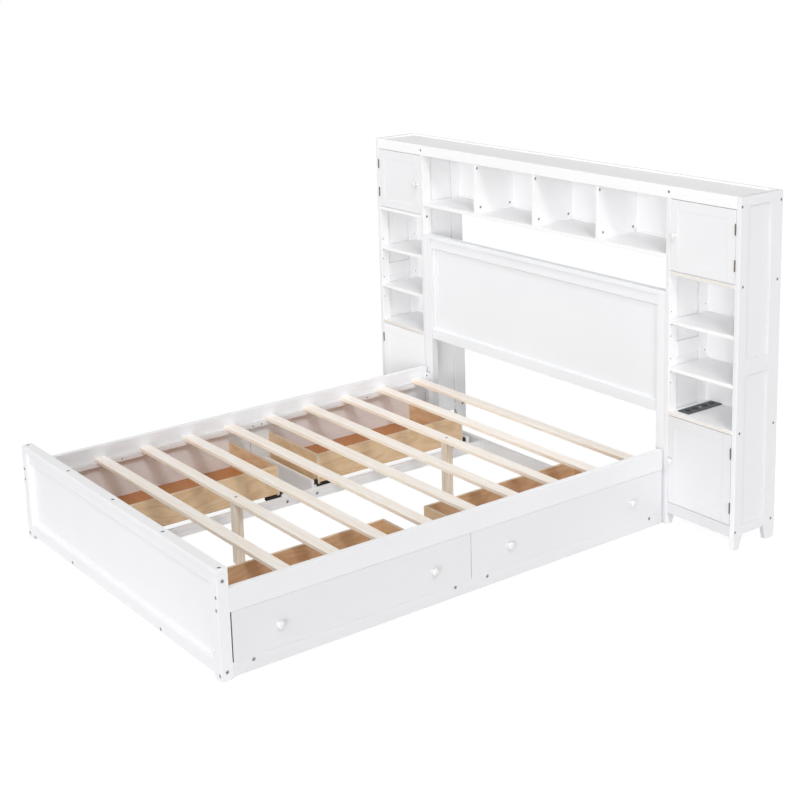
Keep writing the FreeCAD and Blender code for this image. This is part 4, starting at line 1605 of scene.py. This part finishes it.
@dataclass
class Doors(Assembly):
    """Four cupboard doors, each a frame with fine joint lines round a recessed panel, on two hinges."""

    knob: Knob
    frame_width: float = 38 * MM
    step: float = 0.8 * MM
    slope: float = 8 * MM
    recess: float = 1.5 * MM
    back_recess: float = 4 * MM
    back_slope: float = 0.5 * MM
    joint_width: float = 0.9 * MM
    joint_depth: float = 1.2 * MM
    edge: float = 1.2 * MM
    hinge_edge: float = 0.25 * MM

    def face_mould(self, piece: Piece, forward: bool) -> None:
        """Sink the panel on one face of a door, in front through a fine step and a shallow slope.

        Args:
            piece: The door.
            forward: Whether the face is the front one.
        """
        half = max(face.area for face in piece.data.polygons) / 2
        sign = -1 if forward else 1
        pick(piece, lambda face: face.normal.y * sign > SQUARE and face.area > half)
        bpy.ops.mesh.inset(thickness=self.frame_width - self.edge, depth=0)
        if forward:
            bpy.ops.mesh.inset(thickness=self.step / 2, depth=-self.step)
            bpy.ops.mesh.inset(thickness=self.slope, depth=self.step - self.recess)
        else:
            bpy.ops.mesh.inset(thickness=self.back_slope, depth=-self.back_recess)
        done()

    def joint_lines(self, low: Vector, high: Vector) -> list[Piece]:
        """Make the cutters for the two upright lines where a door's stiles meet its rails.

        Args:
            low: The door's low corner.
            high: The door's high corner.

        Returns:
            The two cutters.
        """
        half = self.joint_width / 2
        lines = [Span(Vector((x, low.y, low.z)), Vector((x, low.y + self.joint_depth, high.z)))
                 for x in (low.x + self.frame_width, high.x - self.frame_width)]
        return [block("joint_tool", line.grown((half, MM, MM), (half, 0, MM))) for line in lines]

    def build(self) -> None:
        """Make the doors with their knobs and hinges."""
        for side in Side:
            for level in Level:
                tag = "%s_%s" % (level.value, side.value[0])
                body = "door_" + tag
                low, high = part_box(body)
                piece = self.joiner.board("moulded_door_" + tag, Span(low, high), self.edge, bored=False)
                self.face_mould(piece, True)
                self.face_mould(piece, False)
                carve(piece, self.joint_lines(low, high))
                paint = self.palette.paint
                # The lower doors take copies of the paint by how light falls: the left one the brighter
                # copy, painted light, the right one a darker copy, painted shade.
                if level is Level.LOWER:
                    paint = self.palette.paint_painted_light if side is Side.LEFT else self.palette.paint_lower_door_painted_shade
                seat(dress(piece, paint), body, body)
                self.knob.set_on("door_knob_" + tag, "turned_knob_" + tag, Vector((0, -1, 0)), body)
                refine("door_leaves_" + tag, "hinge_leaves_" + tag, self.hinge_edge, self.palette.hinge,
                       body)
        refine("fixed_hinge_leaves", "hinge_leaves_fixed", self.hinge_edge, self.palette.hinge)


@dataclass
class Drawers(Assembly):
    """Four drawers with painted fronts, plywood boxes, turned knobs and nylon rollers."""

    knob: Knob
    edge: float = 0.8 * MM
    front_edge: float = 0.3 * MM
    front_reach: float = 1.5 * MM
    bracket_edge: float = 0.6 * MM
    roller_edge: float = 0.8 * MM

    def front(self, tag: str) -> Piece:
        """Make a drawer's front, which fills the gap over and under it but for a fine line.

        Args:
            tag: The drawer's side and row.

        Returns:
            The front.
        """
        span = solids_of("drawer_front_" + tag)[0]
        reach = (0, 0, self.front_reach)
        made = self.joiner.board("painted_front_" + tag, span.grown(reach, reach), self.front_edge)
        # A darker copy of the paint, painted shade; the inner face takes the brighter, bluer primer, painted
        # light.
        dress(made, self.palette.paint_grey_painted_shade)
        return dress_faces(made, self.palette.inner_coat_painted_light, lambda face: face.normal.x * span.centre.x < 0)

    def box_boards(self, node: str) -> list[Piece]:
        """Make the four boards of one drawer box.

        Args:
            node: The CAD node of the box.

        Returns:
            The boards.
        """
        pieces = []
        for span in solids_of(node):
            made = self.joiner.board("drawer_board", span, self.edge, bored=False)
            thin = min(range(3), key=lambda i: span.size[i])
            if thin == Axis.Z.value:
                dress(made, self.palette.hardboard)
            else:
                dress(made, self.palette.plywood[span.longest()])
                dress_faces(made, self.palette.ply_edge, lambda face: abs(face.normal[thin]) < NEARLY)
            pieces.append(made)
        return pieces

    def build(self) -> None:
        """Make the drawers."""
        for side in Side:
            for row in Row:
                tag = "%s_%s" % (side.value[0], row.value)
                body = "drawer_" + tag
                front = self.front(tag)
                # The foot-end face of the foot row's fronts is bare fibreboard, which also darkens the gap
                # beside the post as painted shade.
                if row is Row.FOOT:
                    dress_faces(front, self.palette.bare_end_and_gap_shade, lambda face: face.normal.y < -SQUARE)
                seat(front, "drawer_front_" + tag, body)
                boards = self.box_boards("drawer_box_" + tag)
                seat(join("plywood_box_" + tag, boards), "drawer_box_" + tag, body)
                outward = Vector((side.value[1], 0, 0))
                self.knob.set_on("drawer_knobs_" + tag, "turned_knobs_" + tag, outward, body)
                refine("roller_brackets_" + tag, "nylon_brackets_" + tag, self.bracket_edge,
                       self.palette.nylon, body)
                refine("rollers_" + tag, "nylon_rollers_" + tag, self.roller_edge, self.palette.nylon,
                       "rollers_" + tag)


@dataclass
class PowerStrip:
    """A flat block of outlets on the shelf over the right tower's lower door, a button in its middle."""

    palette: Palette
    edge: float = 1.2 * MM
    edge_segments: int = 3
    outlet_segments: int = 40
    outlet_radius: float = 15 * MM
    outlet_depth: float = 1.6 * MM
    outlet_pitch: float = 42 * MM
    first_outlet: float = 29 * MM
    slot: tuple[float, float] = (2 * MM, 7 * MM)
    slot_apart: float = 6 * MM
    slot_share: float = 1.9
    button_segments: int = 32
    button_radius: float = 6 * MM
    button_height: float = 1 * MM
    button_ease: float = 0.6 * MM

    def build(self) -> None:
        """Make the power strip: an eased slab, its sunk outlets with two slots each, and its button."""
        low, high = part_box("power_strip")
        piece = block("flat_power_strip", Span(low, high))
        ease(piece, self.edge, self.edge_segments)
        middle = (low + high) / 2
        far_outlet = self.first_outlet + self.outlet_pitch
        for way in (-self.first_outlet, -far_outlet, self.first_outlet, far_outlet):
            tools = [add("outlet_tool", bpy.ops.mesh.primitive_cylinder_add,
                         vertices=self.outlet_segments, radius=self.outlet_radius,
                         depth=2 * self.outlet_depth,
                         location=(middle.x, middle.y + way, high.z))]
            tools += [add("slot_tool", bpy.ops.mesh.primitive_cube_add, size=1,
                          location=(middle.x + apart, middle.y + way, high.z),
                          scale=(*self.slot, self.slot_share * (high.z - low.z)))
                      for apart in (-self.slot_apart, self.slot_apart)]
            carve(piece, tools)
        dress(piece, self.palette.abs)
        sunk = high.z - self.outlet_depth + SAME_PLACE
        dress_faces(piece, self.palette.abs_dark, lambda face: face.center.z < sunk and faces_up(face))
        r, h, eased = self.button_radius, self.button_height, self.button_ease
        button = lathe_set("strip_button", [(r, -h), (r, h - eased), (r - eased, h)], self.button_segments,
                           Vector((middle.x, middle.y, high.z)), UP)
        strip = join("flat_power_strip", [piece, dress(button, self.palette.abs_pale)])
        seat(strip, "power_strip")


# Studio


@dataclass(frozen=True)
class Lamp:
    """A lamp so far away that it shines one way everywhere."""

    name: str
    strength: float
    spread: float
    way: tuple[float, float, float]
    height: float = 5

    def hang(self) -> None:
        """Add the lamp over the bed. Only its turn counts, not its place."""
        bpy.ops.object.select_all(action="DESELECT")
        bpy.ops.object.light_add(type="SUN", location=(0, 0, self.height))
        lamp = bpy.context.active_object
        lamp.name = self.name
        lamp.data.energy = self.strength
        lamp.data.angle = math.radians(self.spread)
        lamp.rotation_euler = Vector(self.way).to_track_quat("-Z", "Y").to_euler()


@dataclass
class Studio:
    """A white floor, soft light from above the foot of the bed, and the camera."""

    azimuth: float = 53.825
    elevation: float = 12.754
    roll: float = -1.63
    sensor: float = 36
    focal_share: float = 1493.5 / 800
    place: tuple[float, float, float] = (4.8223, -3.3267, 2.4308)
    shift: float = -0.17
    farthest_seen: float = 100
    floor_size: float = 60.0
    floor_drop: float = 0.5 * MM
    floor_colour: str = "#E9E9EA"
    floor_roughness: float = 0.9
    floor_glow: float = 0.85
    glow_strength: float = 1.10
    world_strength: float = 0.42
    lamps: tuple[Lamp, ...] = (Lamp("key_lamp", 0.69, 10, (-0.90, 0.42, -1.0)),
                               Lamp("fill_lamp", 1.76, 30, (-0.6, 0.78, -0.05)),
                               Lamp("high_lamp", 0.53, 30, (-0.5, 0.8, -0.8)),
                               Lamp("top_lamp", 0.38, 30, (0, 0, -1)))

    def floor(self) -> None:
        """Lay the floor. The camera sees it nearly white, and it keeps the object's shadow."""
        floor = add("studio_floor", bpy.ops.mesh.primitive_plane_add, size=self.floor_size,
                    location=(0, 0, -self.floor_drop))
        material, tree, shader = new_material("matt_floor_paint")
        fill(tree, shader, {"Base Color": linear(self.floor_colour), "Roughness": self.floor_roughness})
        path = put(tree, "ShaderNodeLightPath")
        share = put(tree, "ShaderNodeMath", {0: path.outputs["Is Camera Ray"], 1: self.floor_glow},
                    operation="MULTIPLY")
        glow = put(tree, "ShaderNodeEmission", {"Color": WHITE, "Strength": self.glow_strength})
        both = put(tree, "ShaderNodeMixShader", {0: share, 1: shader, 2: glow})
        output = next(node for node in tree.nodes if node.type == "OUTPUT_MATERIAL")
        fill(tree, output, {"Surface": both})
        dress(floor, material)

    def light(self) -> None:
        """Set the lamps and the world."""
        for lamp in self.lamps:
            lamp.hang()
        world = bpy.data.worlds.new("studio_world")
        bpy.context.scene.world = world
        world.use_nodes = True
        tree = world.node_tree
        tree.nodes.clear()
        path = put(tree, "ShaderNodeLightPath")
        camera_ray, through_ray = path.outputs["Is Camera Ray"], path.outputs["Is Transmission Ray"]
        seen = put(tree, "ShaderNodeMath", {0: camera_ray, 1: through_ray}, operation="MAXIMUM")
        strength = put(tree, "ShaderNodeMapRange",
                       {"Value": seen, "To Min": self.world_strength, "To Max": 1.0})
        sky = put(tree, "ShaderNodeBackground", {"Color": WHITE, "Strength": strength})
        put(tree, "ShaderNodeOutputWorld", {"Surface": sky})

    def camera(self) -> None:
        """Set the camera where the photograph was taken from."""
        a, e, r = (math.radians(v) for v in (self.azimuth, self.elevation, self.roll))
        back = Vector((math.sin(a) * math.cos(e), -math.cos(a) * math.cos(e), math.sin(e)))
        right = UP.cross(back).normalized()
        up = back.cross(right)
        turned_right = right * math.cos(r) + up * math.sin(r)
        turned_up = up * math.cos(r) - right * math.sin(r)
        bpy.ops.object.select_all(action="DESELECT")
        bpy.ops.object.camera_add(location=self.place)
        camera = bpy.context.active_object
        camera.rotation_euler = Matrix((turned_right, turned_up, back)).transposed().to_euler()
        camera.data.sensor_width = self.sensor
        camera.data.lens = self.sensor * self.focal_share
        camera.data.shift_y = self.shift
        camera.data.clip_end = self.farthest_seen
        bpy.context.scene.camera = camera

    def build(self) -> None:
        """Set up the studio."""
        self.floor()
        self.light()
        self.camera()
        bpy.context.scene.view_settings.view_transform = "Standard"


def main() -> None:
    """Build every sub-assembly and the studio."""
    logging.basicConfig(level=logging.INFO, format="%(message)s")
    palette = Palette()
    fasteners = Fasteners(palette)
    joiner = Joiner(fasteners)
    knob = Knob(palette)
    for part in (Footboard(palette, joiner), Headboard(palette, joiner), BedBase(palette, joiner),
                 Towers(palette, joiner), Bridge(palette, joiner), Doors(palette, joiner, knob),
                 Drawers(palette, joiner, knob), PowerStrip(palette), fasteners, Studio()):
        log.info("building %s", type(part).__name__)
        part.build()


if __name__ == "__main__":
    main()
